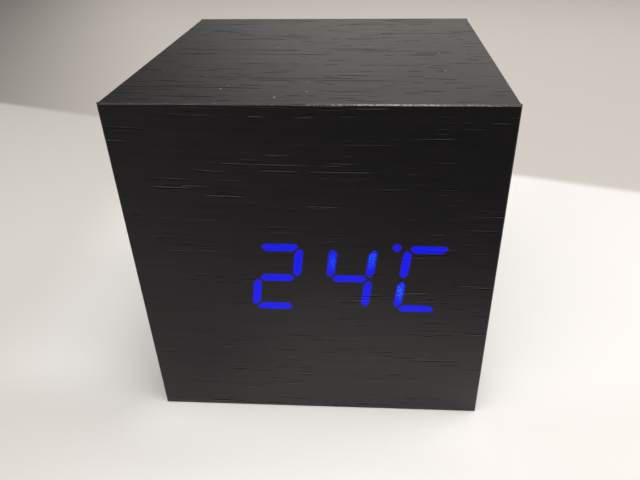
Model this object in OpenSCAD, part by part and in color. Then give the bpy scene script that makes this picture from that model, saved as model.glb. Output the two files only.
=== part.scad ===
// Cube-shaped wooden alarm clock with a digital display that shines through its front veneer.
// Origin at the middle of the base, +Z up, the display faces -Y. Millimetres.

/* [Case] */
// Width of the clock across its front
case_w = 62; // [61:1:90]
// Depth of the clock from front to back
case_d = 62; // [58:1:90]
// Height of the clock
case_h = 62; // [62:1:90]
// Thickness of the wood veneer on every face
veneer_t = 0.6; // [0.4:0.1:0.8]
// Bevel along the outer edges of the veneer
arris = 0.2; // [0.1:0.05:0.3]
// Thickness of the four boards that form the box
board_t = 4; // [3:0.5:4.5]
// Thickness of the board behind the front veneer
front_board_t = 3; // [2.5:0.5:4]
// Side of the square glue blocks that take the cover screws
block_side = 6.5; // [5.5:0.1:6.8]
// Length of the glue blocks
block_len = 10; // [8:1:14]

/* [Display] */
// Distance between the left and right strokes of a digit
digit_w = 6.7; // [6:0.05:7]
// Distance from the middle stroke of a digit to its top stroke
digit_half_h = 6.1; // [5.5:0.05:7]
// Distance from one digit to the next
digit_pitch = 12.45; // [11.8:0.05:12.5]
// Width of the strokes
stroke_w = 1.6; // [1.2:0.1:2]
// Gap between neighbouring strokes
stroke_gap = 0.25; // [0.2:0.05:0.4]
// Lean of the digits in degrees
digit_lean = 7.3; // [0:0.1:10]
// Height of the display's middle above the middle of the front
display_lift = 0.4; // [0:0.1:1]
// Radius of the colon and degree dots
dot_r = 0.8; // [0.5:0.1:1]
// Thickness of the flange of the light box
light_flange_t = 1.5; // [1.2:0.1:2.5]
// Thickness of the film between the light box and the veneer
film_t = 0.2; // [0.1:0.05:0.4]
// Width of the display board
display_board_w = 50; // [49:0.5:51]
// Height of the display board
display_board_h = 40; // [38:1:44]
// Thickness of both circuit boards
circuit_t = 1.2; // [0.8:0.1:1.6]

/* [Rear cover] */
// Depth of the cover below the rear face of the case
cover_recess = 0.8; // [0.8:0.1:1.5]
// Thickness of the cover plate
cover_t = 2; // [2:0.1:2.5]
// Overlap of the cover on the boards around it
cover_lap = 2; // [1.5:0.1:2.4]
// Corner radius of the cover
cover_corner_r = 2.5; // [1.5:0.5:3.5]
// Gap around the cover
cover_fit = 0.3; // [0.2:0.05:0.5]
// Chamfer along the outer edges of the cover and the battery door
edge_chamfer = 0.3; // [0.1:0.05:0.4]
// Height of the strip below the battery bay
lower_strip_h = 7; // [7:0.1:7.2]
// Width of one sound slot
slot_w = 1; // [0.8:0.1:1.3]
// Number of sound slots on each side
slot_count = 5; // [3:1:5]

/* [Battery bay] */
// Length of one cell over its button
cell_len = 44.5; // [44:0.1:44.9]
// Diameter of one cell
cell_d = 10.5; // [10.2:0.1:10.6]
// Working length of a contact spring
spring_len = 3.6; // [3.2:0.1:3.8]
// Diameter of the spring wire
spring_wire_d = 0.5; // [0.4:0.05:0.6]
// Turns of a contact spring
spring_turns = 2.5; // [2:0.5:3]
// Wall of the battery bay
bay_wall = 1.5; // [1.4:0.1:1.6]
// Floor of the battery bay
bay_floor_t = 1.2; // [1:0.1:2]
// Thickness of the battery door
door_t = 1.6; // [1.2:0.1:1.7]
// Width of the ledge that the door rests on
door_ledge = 0.8; // [0.6:0.1:0.9]
// Gap around the door
door_gap = 0.2; // [0.15:0.05:0.3]
// Radius of the hinge barrel along the door's top edge
hinge_r = 1; // [0.9:0.05:1]
// Radius of the two hinge pins
hinge_pin_r = 0.5; // [0.4:0.05:0.6]
// Running clearance of the hinge pins
hinge_fit = 0.06; // [0.03:0.01:0.1]
// Width of the latch tongue
latch_w = 9; // [7:0.5:12]

/* [Buttons and power jack] */
// Radius of a button cap
button_r = 2.5; // [2:0.1:2.8]
// Height of a button above the cover
button_proud = 0.6; // [0.4:0.1:0.8]
// Travel of a button
button_travel = 0.5; // [0.3:0.1:0.8]
// Gap between a button and its hole
button_fit = 0.15; // [0.1:0.05:0.25]
// Distance from one button to the next
button_pitch = 7.6; // [7:0.1:7.6]
// Radius of the bore of the power jack
jack_bore_r = 1.75; // [1.5:0.05:1.9]
// Radius of the centre pin of the power jack
jack_pin_r = 0.65; // [0.4:0.05:0.7]
// Outer radius of the nose of the power jack
jack_nose_r = 2.8; // [2.5:0.1:3]

/* [Hidden] */
$fn = 48;

// Overrun of every cut past the faces that it goes through
over = 1;
// Play between glued or seated pieces that slide together
slip = 0.1;
// Half of a right angle's diagonal, for gaps along mitred ends
mitre_share = sqrt(2) / 2;
// How far the front board reaches into the rebates of the boards around it
front_lap = 1.5;

// Planes and spaces of the case
front_y = -case_d / 2;
back_y = case_d / 2;
mid_z = case_h / 2;
shell_w = case_w - 2 * veneer_t;
shell_h = case_h - 2 * veneer_t;
shell_front_y = front_y + veneer_t;
shell_back_y = back_y - veneer_t;
room_w = shell_w - 2 * board_t;
room_h = shell_h - 2 * board_t;
room_low_z = veneer_t + board_t;
room_high_z = case_h - room_low_z;
room_front_y = shell_front_y + front_board_t;

// Display: its middle, and what is lit on each of the four digits, from the left
display_z = mid_z + display_lift;
lit_strokes = ["", "abdeg", "bcfg", "adef"];
stroke_names = "abcdefg";
tip_offset = stroke_w / 10;
tip_inset = stroke_gap * mitre_share;
stroke_round = stroke_w / 4;
round_steps = 3;
degree_dot_shift = 2;
window_margin = 0.9;
window_w = 3 * digit_pitch + digit_w + stroke_w + 2 * digit_half_h * tan(digit_lean) + 2 * window_margin;
window_h = 2 * digit_half_h + stroke_w + 2 * window_margin;
circuit_front_y = room_front_y + light_flange_t;
circuit_back_y = circuit_front_y + circuit_t;
lamp_len = 1.6;
lamp_w = 0.8;
lamp_h = 0.6;

// Small screws: the radius and height of their heads, their shanks, and the size of the driver cross
screw_r = 1;
screw_head_r = 2;
screw_head_h = 0.9;
screw_fit = 0.04;
cross_len_share = 1.2;
cross_w_share = 0.25;
cross_depth_share = 0.6;
display_screw_inset = 2.4;
display_screw_skin = 0.8;
display_screw_bite = front_board_t - display_screw_skin;
screw_hole_gap = 0.2;
pilot_spare = 0.4;

// Cover planes
cover_out_y = back_y - cover_recess;
cover_in_y = cover_out_y - cover_t;
cover_pocket_w = room_w + 2 * cover_lap;
cover_pocket_h = room_h + 2 * cover_lap;

slot_round = 0.4;

// Battery bay
cell_count = 3;
cell_slack = 0.2;
cell_gap = 0.5;
cell_pitch = cell_d + cell_gap;
cell_door_gap = 0.6;
cell_r = cell_d / 2;
cell_button_r = 1.9;
cell_button_h = 0.8;
cell_crimp = 0.5;
contact_t = 0.4;
contact_bump_r = 1.6;
contact_bump_h = 0.4;
contact_w = 7.4;
bay_in_len = cell_len + spring_len + contact_bump_h + cell_slack;
bay_channel_r = cell_r + cell_slack;
bay_in_h = (cell_count - 1) * cell_pitch + 2 * bay_channel_r;
bay_out_len = bay_in_len + 2 * bay_wall;
bay_out_low_z = room_low_z + lower_strip_h;
bay_in_low_z = bay_out_low_z + bay_wall;
bay_in_high_z = bay_in_low_z + bay_in_h;
bay_mid_z = (bay_in_low_z + bay_in_high_z) / 2;
cell_y = cover_out_y - door_t - cell_door_gap - cell_r;
bay_floor_in_y = cell_y - bay_channel_r;
bay_floor_out_y = bay_floor_in_y - bay_floor_t;
rim_y = cover_out_y - door_t - slip;
ridge_top_y = cell_y - cell_r / 3;
contact_pocket_t = contact_t + slip;
contact_rise = 0.6;
contact_reach_share = 0.7;
contact_inner_y = bay_floor_in_y + contact_rise;
contact_outer_y = cell_y + cell_r * contact_reach_share;
tag_w = 2;
tag_out = 3;
rings_per_turn = 8;
spring_sides = 6;

// Battery door and its latch
door_w = bay_in_len + 2 * door_ledge;
door_low_z = bay_in_low_z - door_ledge;
door_high_z = bay_in_high_z + door_ledge;
hinge_y = cover_out_y - hinge_r;
hinge_z = door_high_z - hinge_r;
hinge_pin_len = 1;
hinge_relief = 0.3;
latch_leg_t = 0.8;
latch_open = 1.2;
latch_depth = 4.2;
latch_hook = 0.8;
latch_hook_len = 1;
latch_gap = 0.3;
latch_top_z = bay_out_low_z - latch_gap;
latch_mid_z = latch_top_z - latch_leg_t - latch_open / 2;
latch_low_z = latch_top_z - 2 * latch_leg_t - latch_open;
scoop_r = 4;
scoop_depth = 0.8;
door_rib_h = 0.4;
door_rib_w = 1;
door_rib_count = 4;
grip_count = 5;
grip_pitch = 1.4;
grip_w = 0.5;
grip_h = 0.25;

// Strip with the buttons and the jack, hung from the top board
button_board_w = 39;
button_board_h = 9;
button_board_gap = 0.45;
strip_z = room_high_z - button_board_gap - button_board_h / 2;
button_flange_w = 0.6;
button_flange_r = button_r + button_flange_w;
button_flange_t = 0.8;
button_rest_gap = 0.05;
button_tail = 2;
button_round = 0.4;
stem_r = 1.7;
stem_free_h = 1.5;
stem_hidden_h = 2;
stem_fit = 0.1;
switch_side = 6;
switch_h = 3.5;
switch_leg_w = 0.7;
switch_leg_out = 1;
strip_depth = button_rest_gap + button_flange_t + button_tail + stem_free_h + switch_h;
button_board_face_y = cover_in_y - strip_depth;
button_board_back_y = button_board_face_y - circuit_t;
boss_r = 2;
boss_pilot_depth = 5;
boss_x = button_board_w / 2 - boss_r - 2 * slip;
buttons_mid_x = 3.8;
button_xs = [for (i = [1 : -1 : -1]) buttons_mid_x + i * button_pitch];
jack_shift = 0.3;
jack_x = buttons_mid_x - 2 * button_pitch + jack_shift;
jack_side = 6.5;
jack_nose_fit = 0.15;
jack_pin_recess = 1;
jack_back_wall = 0.8;
jack_body_gap = 0.2;
jack_spring_t = 0.3;
jack_spring_w = 1.6;

// Pieces on the back of the display board, placed from its middle
chip_pos = [12, 5];
chip_size = [12.8, 7.5];
chip_h = 2.3;
chip_lift = 0.15;
chip_leg_pitch = 1.27;
chip_leg_w = 0.42;
chip_leg_out = 1.3;
chip_leg_t = 0.25;
chip_legs_per_side = 10;
chip_dimple_r = 0.6;
chip_dimple_depth = 0.15;
crystal_pos = [-2, -7.5];
crystal_r = 1;
crystal_len = 6;
coin_pos = [-12, 6];
coin_r = 10;
coin_h = 3.2;
coin_cap_r = 8.8;
coin_cap_h = 0.6;
coin_bevel = 0.3;
holder_wall = 1.1;
holder_floor = 0.9;
holder_gap = 0.15;
clip_w = 5;
clip_t = 0.3;
buzzer_pos = [12, -10.5];
buzzer_r = 6;
buzzer_h = 6;
buzzer_hole_r = 1;
buzzer_hole_depth = 1.2;
buzzer_rim = 0.4;
mic_pos = [-14, -12];
mic_r = 3;
mic_h = 2.7;
mic_hole_r = 0.9;
mic_rim = 0.4;
mic_rim_h = 0.3;
mic_hole_depth = 1;
sensor_pos = [-6.5, -16];
sensor_r = 1.2;
sensor_lead_r = 0.25;
sensor_lead_len = 4;
capacitor_pos = [-5, -11.8];
capacitor_r = 2.5;
capacitor_h = 7;
capacitor_groove = 0.3;
socket_pos = [10, 15.4];
socket_size = [8, 5];
socket_h = 5;
socket_wall = 0.8;
ribbon_w = 6;
ribbon_t = 0.9;
ribbon_web_t = 0.3;
ribbon_wires = 6;
ribbon_bite = 2;
ribbon_slack = 6;
ribbon_steps = 20;
lead_r = 0.6;
lead_sides = 8;
lead_rings = 24;

function unit(v) = v / norm(v);
function total(list, i = 0) = i == len(list) - 1 ? list[i] : list[i] + total(list, i + 1);

// Points of a Bezier curve through its control points
function bezier(c, t) = len(c) == 1 ? c[0] :
    bezier([for (i = [0 : len(c) - 2]) (1 - t) * c[i] + t * c[i + 1]], t);
function bezier_path(c, steps) = [for (i = [0 : steps]) bezier(c, i / steps)];
function arc_points(centre, r, from, to, steps) =
    [for (i = [0 : steps]) let (a = from + (to - from) * i / steps) centre + r * [cos(a), sin(a)]];

// A closed outline with each corner rounded off, starting at cut from the corner
function softened(outline, cut, steps) = let (n = len(outline)) [
    for (i = [0 : n - 1])
        let (p = outline[i])
        let (a = p + cut * unit(outline[(i + n - 1) % n] - p))
        let (b = p + cut * unit(outline[(i + 1) % n] - p))
        each bezier_path([a, p, b], steps)
];

// Normals carried along a path, and the rings of points of a tube around it
function tangents(path) = let (n = len(path))
    [for (i = [0 : n - 1]) unit(path[min(i + 1, n - 1)] - path[max(i - 1, 0)])];
function flattened(v, along) = unit(v - (v * along) * along);
function normals(along, first) =
    [for (i = 0, v = flattened(first, along[0]); i < len(along);
        i = i + 1, v = i < len(along) ? flattened(v, along[i]) : v) v];
function tube_points(path, r, sides, first) =
    let (along = tangents(path))
    let (up = normals(along, first))
    [for (i = [0 : len(path) - 1]) for (k = [0 : sides - 1])
        let (a = 360 * k / sides)
        path[i] + r * (cos(a) * up[i] + sin(a) * cross(along[i], up[i]))];
function tube_faces(rings, sides) = concat(
    [for (i = [0 : rings - 2]) for (k = [0 : sides - 1]) for (half = [0, 1])
        let (m = (k + 1) % sides)
        let (a = i * sides + k)
        let (b = i * sides + m)
        half == 0 ? [a, a + sides, b + sides] : [a, b + sides, b]],
    [for (k = [1 : sides - 2]) [0, k, k + 1]],
    [for (k = [1 : sides - 2]) (rings - 1) * sides * [1, 1, 1] + [0, k + 1, k]]
);

module tube(path, r, sides, first) {
    polyhedron(tube_points(path, r, sides, first), tube_faces(len(path), sides));
}

// A flat shape drawn as seen from the front, given thickness from plane y = from to plane y = to
module upright(from, to) {
    translate([0, to, 0]) rotate([90, 0, 0]) linear_extrude(to - from) children();
}

// A flat shape drawn in Y and Z, given width along X from x = from to x = to
module sideways(from, to) {
    translate([from, 0, 0]) rotate([90, 0, 90]) linear_extrude(to - from) children();
}

// A round bar along Y
module bar(r, from, to) {
    translate([0, from, 0]) rotate([-90, 0, 0]) cylinder(h = to - from, r = r);
}

module centred_block(size_x, from_y, to_y, size_z) {
    translate([-size_x / 2, from_y, -size_z / 2]) cube([size_x, to_y - from_y, size_z]);
}

module rounded_rectangle(w, h, r) {
    square([w - 2 * r, h], center = true);
    square([w, h - 2 * r], center = true);
    for (x = [-1, 1]) for (y = [-1, 1]) translate([x * (w / 2 - r), y * (h / 2 - r)]) circle(r = r);
}

// A plate's section from low to high, chamfered at both ends of its outer side, y = to
module chamfered_section(low, high, from, to) {
    reach = edge_chamfer + over;
    polygon([
        [low - over, from - over], [low - over, to - reach], [low + reach, to + over],
        [high - reach, to + over], [high + over, to - reach], [high + over, from - over]
    ]);
}

// What a plate keeps when its edges are chamfered on the left and right, and below and above
module chamfered_edges(half_w, low, high, from, to) {
    translate([0, 0, low - over]) linear_extrude(high - low + 2 * over)
        chamfered_section(-half_w, half_w, from, to);
    sideways(-half_w - over, half_w + over) mirror([1, -1]) chamfered_section(low, high, from, to);
}

module cross_slot(head_r, depth) {
    for (turn = [0, 90]) rotate([0, turn, 0])
        centred_block(head_r * cross_len_share, 0, depth, head_r * cross_w_share);
}

// A pan-head screw whose head rests on the plane y = 0 and whose shank runs along -Y
module screw(len) {
    difference() {
        rotate([-90, 0, 0]) rotate_extrude() polygon(concat(
            [[0, -len], [screw_r / 2, -len], [screw_r, screw_r - len], [screw_r, 0], [screw_head_r, 0]],
            arc_points([screw_head_r - screw_head_h / 2, screw_head_h / 2], screw_head_h / 2, 0, 90, 4),
            [[0, screw_head_h]]
        ));
        translate([0, screw_head_h * (1 - cross_depth_share), 0]) cross_slot(screw_head_r, over);
    }
}

// Veneer sheets
module face_sheet() {
    intersection() {
        sideways(-case_w / 2, case_w / 2) polygon([
            [front_y + arris, 0], [shell_front_y, 0], [shell_front_y, case_h],
            [front_y + arris, case_h], [front_y, case_h - arris], [front_y, arris]
        ]);
        linear_extrude(case_h) polygon([
            [-case_w / 2, shell_front_y], [-case_w / 2, front_y + arris], [arris - case_w / 2, front_y],
            [case_w / 2 - arris, front_y], [case_w / 2, front_y + arris], [case_w / 2, shell_front_y]
        ]);
    }
}

module flat_sheet() {
    upright(shell_front_y, shell_back_y) polygon([
        [-case_w / 2, arris], [arris - case_w / 2, 0], [case_w / 2 - arris, 0],
        [case_w / 2, arris], [case_w / 2, veneer_t], [-case_w / 2, veneer_t]
    ]);
}

module side_sheet() {
    translate([-case_w / 2, shell_front_y, veneer_t])
        cube([veneer_t, shell_back_y - shell_front_y, shell_h]);
}

module front_veneer() {
    color("#2b2a2a") difference() {
        face_sheet();
        upright(front_y - over, shell_front_y + over) display_outlines(true);
        upright(front_y - over, shell_front_y + over) display_outlines(false);
    }
}

module top_veneer() {
    color("#4a4744") translate([0, 0, case_h]) mirror([0, 0, 1]) flat_sheet();
}

module bottom_veneer() {
    color("#2b2a2a") flat_sheet();
}

module left_veneer() {
    color("#333130") side_sheet();
}

module right_veneer() {
    color("#333130") mirror([1, 0, 0]) side_sheet();
}

module rear_veneer() {
    color("#2b2a2a") difference() {
        mirror([0, 1, 0]) face_sheet();
        cover_pocket(shell_back_y - over, back_y + over);
    }
}

// Boards of the box: mitred at the corners and rebated for the front board and the rear cover
module cover_pocket(from, to) {
    translate([0, 0, mid_z]) upright(from, to)
        rounded_rectangle(cover_pocket_w, cover_pocket_h, cover_corner_r);
}

module box_board(span, across) {
    difference() {
        translate([0, 0, mid_z]) rotate([0, across, 0])
            translate([0, 0, -(across % 180 == 0 ? shell_h : shell_w) / 2])
            upright(shell_front_y, shell_back_y) polygon([
                [-span / 2, 0], [span / 2, 0], [span / 2 - board_t, board_t], [board_t - span / 2, board_t]
            ]);
        translate([0, 0, mid_z]) centred_block(
            room_w + 2 * (front_lap + slip), shell_front_y - over, room_front_y,
            room_h + 2 * (front_lap + slip));
        cover_pocket(cover_in_y, back_y);
    }
}

module bottom_board() {
    color("#9c7b53") box_board(shell_w, 0);
}

module left_board() {
    color("#9c7b53") box_board(shell_h, 90);
}

module top_board() {
    color("#9c7b53") box_board(shell_w, 180);
}

module right_board() {
    color("#9c7b53") box_board(shell_h, 270);
}

module corner_places() {
    for (x = [-1, 1]) for (z = [-1, 1])
        translate([x * (room_w - block_side) / 2, 0, mid_z + z * (room_h - block_side) / 2]) children();
}

module corner_blocks() {
    color("#a98a62") corner_places() difference() {
        centred_block(block_side, cover_in_y - block_len, cover_in_y, block_side);
        bar(screw_r + screw_fit, cover_in_y - block_len + over, cover_in_y + over);
    }
}

module display_screw_places() {
    reach_x = display_board_w / 2 - display_screw_inset;
    reach_z = display_board_h / 2 - display_screw_inset;
    for (x = [-1, 1]) for (z = [-1, 1]) translate([x * reach_x, 0, display_z + z * reach_z]) children();
}

module front_board() {
    color("#9c7b53") difference() {
        translate([0, 0, mid_z])
            centred_block(room_w + 2 * front_lap, shell_front_y, room_front_y, room_h + 2 * front_lap);
        translate([0, 0, display_z])
            centred_block(window_w, shell_front_y - over, room_front_y + over, window_h);
        display_screw_places()
            bar(screw_r + screw_fit, room_front_y - display_screw_bite - pilot_spare, room_front_y + over);
    }
}

// Display: one outline per stroke, all in the plane of the front
function leaned(points) = [for (p = points) [p.x + p.y * tan(digit_lean), p.y]];

// A stroke along X. Each end has the place of its tip and how far the tip is moved to the outside
function stroke_outline(low_end, low_tip, high_end, high_tip) = let (half = stroke_w / 2) softened([
    [low_end + half - low_tip, half], [high_end - half + high_tip, half], [high_end, high_tip],
    [high_end - half - high_tip, -half], [low_end + half + low_tip, -half], [low_end, low_tip]
], stroke_round, round_steps);

corner_reach = tip_offset - tip_inset;
level_reach = digit_w / 2 + corner_reach;
level_stroke = stroke_outline(-level_reach, tip_offset, level_reach, tip_offset);
middle_stroke = stroke_outline(tip_inset - digit_w / 2, 0, digit_w / 2 - tip_inset, 0);
rising_stroke = stroke_outline(tip_inset, 0, digit_half_h + corner_reach, tip_offset);

function stroke_in_digit(name) =
    name == "a" ? [for (p = level_stroke) [p.x, digit_half_h + p.y]] :
    name == "b" ? [for (p = rising_stroke) [digit_w / 2 + p.y, p.x]] :
    name == "c" ? [for (p = rising_stroke) [digit_w / 2 + p.y, -p.x]] :
    name == "d" ? [for (p = level_stroke) [p.x, -digit_half_h - p.y]] :
    name == "e" ? [for (p = rising_stroke) [-digit_w / 2 - p.y, -p.x]] :
    name == "f" ? [for (p = rising_stroke) [-digit_w / 2 - p.y, p.x]] : middle_stroke;

function is_lit(digit, name) = len(search(name, lit_strokes[digit])) > 0;
function digit_x(digit) = (digit - (len(lit_strokes) - 1) / 2) * digit_pitch;

// Centres of the round dots: the degree sign is lit and the colon is not
degree_dot = [digit_x(3) - digit_w / 2 - degree_dot_shift, digit_half_h + 2 * tip_offset];
colon_dots = [for (z = [-1, 1]) [0, z * digit_half_h / 2]];

module display_outlines(lit) {
    translate([0, display_z]) {
        for (digit = [0 : len(lit_strokes) - 1]) for (name = stroke_names) if (is_lit(digit, name) == lit)
            translate([digit_x(digit), 0]) polygon(leaned(stroke_in_digit(name)));
        for (p = leaned(lit ? [degree_dot] : colon_dots)) translate(p) circle(r = dot_r);
    }
}

module lit_segments() {
    color("#1a1eff") upright(front_y, shell_front_y) display_outlines(true);
}

module unlit_segments() {
    color("#2b2a2a") upright(front_y, shell_front_y) display_outlines(false);
}

module diffuser_film() {
    color("#e8ecf2") translate([0, 0, display_z])
        centred_block(window_w - 2 * slip, shell_front_y, shell_front_y + film_t, window_h - 2 * slip);
}

module light_box() {
    color("#f2f2ee") difference() {
        union() {
            translate([0, 0, display_z])
                centred_block(window_w - 2 * slip, shell_front_y + film_t, room_front_y, window_h - 2 * slip);
            translate([0, 0, display_z])
                centred_block(display_board_w, room_front_y, circuit_front_y, display_board_h);
        }
        upright(shell_front_y, circuit_front_y + over) display_outlines(true);
        upright(shell_front_y, circuit_front_y + over) display_outlines(false);
        display_screw_places() bar(screw_r + screw_hole_gap, room_front_y - over, circuit_front_y + over);
    }
}

module display_board() {
    color("#1f5a3a") difference() {
        translate([0, 0, display_z])
            centred_block(display_board_w, circuit_front_y, circuit_back_y, display_board_h);
        display_screw_places() bar(screw_r + screw_hole_gap, circuit_front_y - over, circuit_back_y + over);
    }
}

// Middle of a stroke, and whether it is upright
function stroke_middle(name) = total(stroke_in_digit(name)) / len(level_stroke);
function is_upright(name) = len(search(name, "bcef")) > 0;

module lamp() {
    centred_block(lamp_len, circuit_front_y - lamp_h, circuit_front_y, lamp_w);
}

module segment_lamps() {
    color("#f0e6b0") translate([0, 0, display_z]) {
        for (digit = [0 : len(lit_strokes) - 1]) for (name = stroke_names) {
            middle = leaned([stroke_middle(name)])[0];
            translate([digit_x(digit) + middle.x, 0, middle.y])
                rotate([0, is_upright(name) ? 90 + digit_lean : 0, 0]) lamp();
        }
        for (p = leaned(concat([degree_dot], colon_dots))) translate([p.x, 0, p.y]) rotate([0, 45, 0])
            centred_block(lamp_w, circuit_front_y - lamp_h, circuit_front_y, lamp_w);
    }
}

module display_screws() {
    color("#c9c9c9") display_screw_places() translate([0, circuit_back_y, 0])
        screw(circuit_back_y - room_front_y + display_screw_bite);
}

// Pieces on the back of the display board
module on_display_board(place) {
    translate([place.x, circuit_back_y, display_z + place.y]) children();
}

module clock_chip() {
    leg_x = (chip_legs_per_side - 1) * chip_leg_pitch / 2;
    color("#1c1c1e") on_display_board(chip_pos) {
        difference() {
            centred_block(chip_size.x, chip_lift, chip_lift + chip_h, chip_size.y);
            translate([chip_leg_pitch - chip_size.x / 2, 0, chip_leg_pitch - chip_size.y / 2])
                bar(chip_dimple_r, chip_lift + chip_h - chip_dimple_depth, chip_lift + chip_h + over);
        }
        for (i = [0 : chip_legs_per_side - 1]) for (side = [-1, 1])
            translate([i * chip_leg_pitch - leg_x, 0, side * (chip_size.y + chip_leg_out) / 2])
                centred_block(chip_leg_w, 0, chip_lift + chip_leg_t, chip_leg_out);
    }
}

module timing_crystal() {
    color("#d2d4d6") on_display_board(crystal_pos) translate([0, crystal_r, 0]) rotate([0, 90, 0]) {
        cylinder(h = crystal_len, r = crystal_r);
        for (side = [-1, 1]) translate([side * crystal_r / 2, 0, -crystal_r])
            cylinder(h = crystal_r, r = crystal_r / 5);
    }
}

module coin_cell() {
    color("#c8cace") on_display_board(coin_pos) translate([0, holder_floor, 0])
        rotate([-90, 0, 0]) rotate_extrude() polygon([
            [0, 0], [coin_cap_r, 0], [coin_cap_r, coin_cap_h], [coin_r - coin_bevel, coin_cap_h],
            [coin_r, coin_cap_h + coin_bevel], [coin_r, coin_h - coin_bevel], [coin_r - coin_bevel, coin_h],
            [0, coin_h]
        ]);
}

module coin_cell_holder() {
    rim_r = coin_r + holder_gap;
    color("#232325") on_display_board(coin_pos) difference() {
        union() {
            bar(rim_r + holder_wall, 0, holder_floor + coin_h - coin_bevel);
            centred_block(
                clip_w + 2 * holder_wall, 0, holder_floor + coin_h - coin_bevel, 2 * (rim_r + holder_wall));
        }
        bar(rim_r, holder_floor, holder_floor + coin_h + over);
        for (side = [-1, 1]) translate([0, 0, side * (rim_r + holder_wall / 2)])
            centred_block(clip_w + 2 * slip, holder_floor, holder_floor + coin_h + over, clip_t + 2 * slip);
        translate([-rim_r, 0, 0])
            centred_block(2 * holder_wall + rim_r, holder_floor, holder_floor + coin_h + over, rim_r);
    }
}

module coin_cell_clip() {
    span = coin_r + holder_gap + holder_wall / 2 + clip_t / 2;
    top = holder_floor + coin_h;
    color("#b9bcc0") on_display_board(coin_pos) sideways(-clip_w / 2, clip_w / 2) polygon([
        [holder_floor, -span], [top + clip_t, -span], [top + clip_t, span],
        [holder_floor, span], [holder_floor, span - clip_t], [top, span - clip_t],
        [top, clip_t - span], [holder_floor, clip_t - span]
    ]);
}

module alarm_buzzer() {
    color("#202022") on_display_board(buzzer_pos) difference() {
        rotate([-90, 0, 0]) rotate_extrude() polygon([
            [0, 0], [buzzer_r - buzzer_rim, 0], [buzzer_r - buzzer_rim, buzzer_rim], [buzzer_r, buzzer_rim],
            [buzzer_r, buzzer_h - buzzer_rim], [buzzer_r - buzzer_rim, buzzer_h], [0, buzzer_h]
        ]);
        bar(buzzer_hole_r, buzzer_h - buzzer_hole_depth, buzzer_h + over);
    }
}

module microphone() {
    color("#c4c6c8") on_display_board(mic_pos) difference() {
        bar(mic_r, 0, mic_h);
        bar(mic_r - mic_rim, mic_h - mic_rim_h, mic_h + over);
        bar(mic_hole_r, mic_h - mic_hole_depth, mic_h + over);
    }
}

module temperature_sensor() {
    color("#b8762e") on_display_board(sensor_pos) {
        translate([0, sensor_lead_len + sensor_r / 2, 0]) sphere(r = sensor_r);
        for (side = [-1, 1]) translate([side * sensor_r / 2, 0, 0])
            bar(sensor_lead_r, 0, sensor_lead_len + sensor_r / 2);
    }
}

module capacitor() {
    color("#2a3c6e") on_display_board(capacitor_pos) rotate([-90, 0, 0]) rotate_extrude() polygon([
        [0, 0], [capacitor_r, 0], [capacitor_r, capacitor_groove],
        [capacitor_r - capacitor_groove, 2 * capacitor_groove],
        [capacitor_r - capacitor_groove, 3 * capacitor_groove], [capacitor_r, 4 * capacitor_groove],
        [capacitor_r, capacitor_h - capacitor_groove], [capacitor_r - capacitor_groove, capacitor_h],
        [0, capacitor_h]
    ]);
}

module ribbon_socket() {
    difference() {
        centred_block(socket_size.x, 0, socket_h, socket_size.y);
        centred_block(
            socket_size.x - 2 * socket_wall, socket_h - ribbon_bite, socket_h + over, ribbon_t + 2 * slip);
    }
}

module display_socket() {
    color("#eeeeea") on_display_board(socket_pos) ribbon_socket();
}

// The ribbon runs from the display socket to the socket on the button board, one wire beside the next
ribbon_from = [circuit_back_y + socket_h - ribbon_bite + slip, display_z + socket_pos.y];
ribbon_to = [button_board_back_y - socket_h + ribbon_bite - slip, strip_z];
ribbon_straight = ribbon_bite + ribbon_t;
ribbon_path = concat([ribbon_from], bezier_path([
    ribbon_from + [ribbon_straight, 0], ribbon_from + [ribbon_straight + ribbon_slack, 0],
    (ribbon_from + ribbon_to) / 2 - [0, ribbon_slack],
    ribbon_to - [ribbon_straight + ribbon_slack, 0], ribbon_to - [ribbon_straight, 0]
], ribbon_steps), [ribbon_to]);

function ribbon_side(offset) = let (along = tangents(ribbon_path))
    [for (i = [0 : len(ribbon_path) - 1]) ribbon_path[i] + offset * [-along[i].y, along[i].x]];
function reversed(list) = [for (i = [len(list) - 1 : -1 : 0]) list[i]];

module ribbon_layer(t) {
    polygon(concat(ribbon_side(t / 2), reversed(ribbon_side(-t / 2))));
}

module ribbon_cable() {
    wire_pitch = ribbon_w / ribbon_wires;
    color("#8d9096") translate([socket_pos.x, 0, 0]) {
        sideways(-ribbon_w / 2, ribbon_w / 2) ribbon_layer(ribbon_web_t);
        for (i = [0 : ribbon_wires - 1]) translate([(i + 1 / 2) * wire_pitch - ribbon_w / 2, 0, 0])
            sideways(-wire_pitch / 3, wire_pitch / 3) ribbon_layer(ribbon_t);
    }
}

// Rear cover: plate, battery bay, hinge bores, latch notch, button holes, sound slots and bosses
module door_opening() {
    translate([0, (bay_in_low_z + bay_in_high_z) / 2]) square(
        [door_w + 2 * door_gap, door_high_z - door_low_z + 2 * door_gap], center = true);
}

module bay_channels() {
    for (i = [0 : cell_count - 1]) translate([-bay_in_len / 2, cell_y, cell_z(i)]) rotate([0, 90, 0])
        cylinder(h = bay_in_len, r = bay_channel_r);
    upright(ridge_top_y, cover_out_y + over) translate([0, bay_mid_z])
        square([bay_in_len, bay_in_h], center = true);
}

function cell_z(i) = bay_in_high_z - bay_channel_r - i * cell_pitch;

module hinge_bar(r, half_len) {
    translate([-half_len, hinge_y, hinge_z]) rotate([0, 90, 0]) cylinder(h = 2 * half_len, r = r);
}

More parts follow.
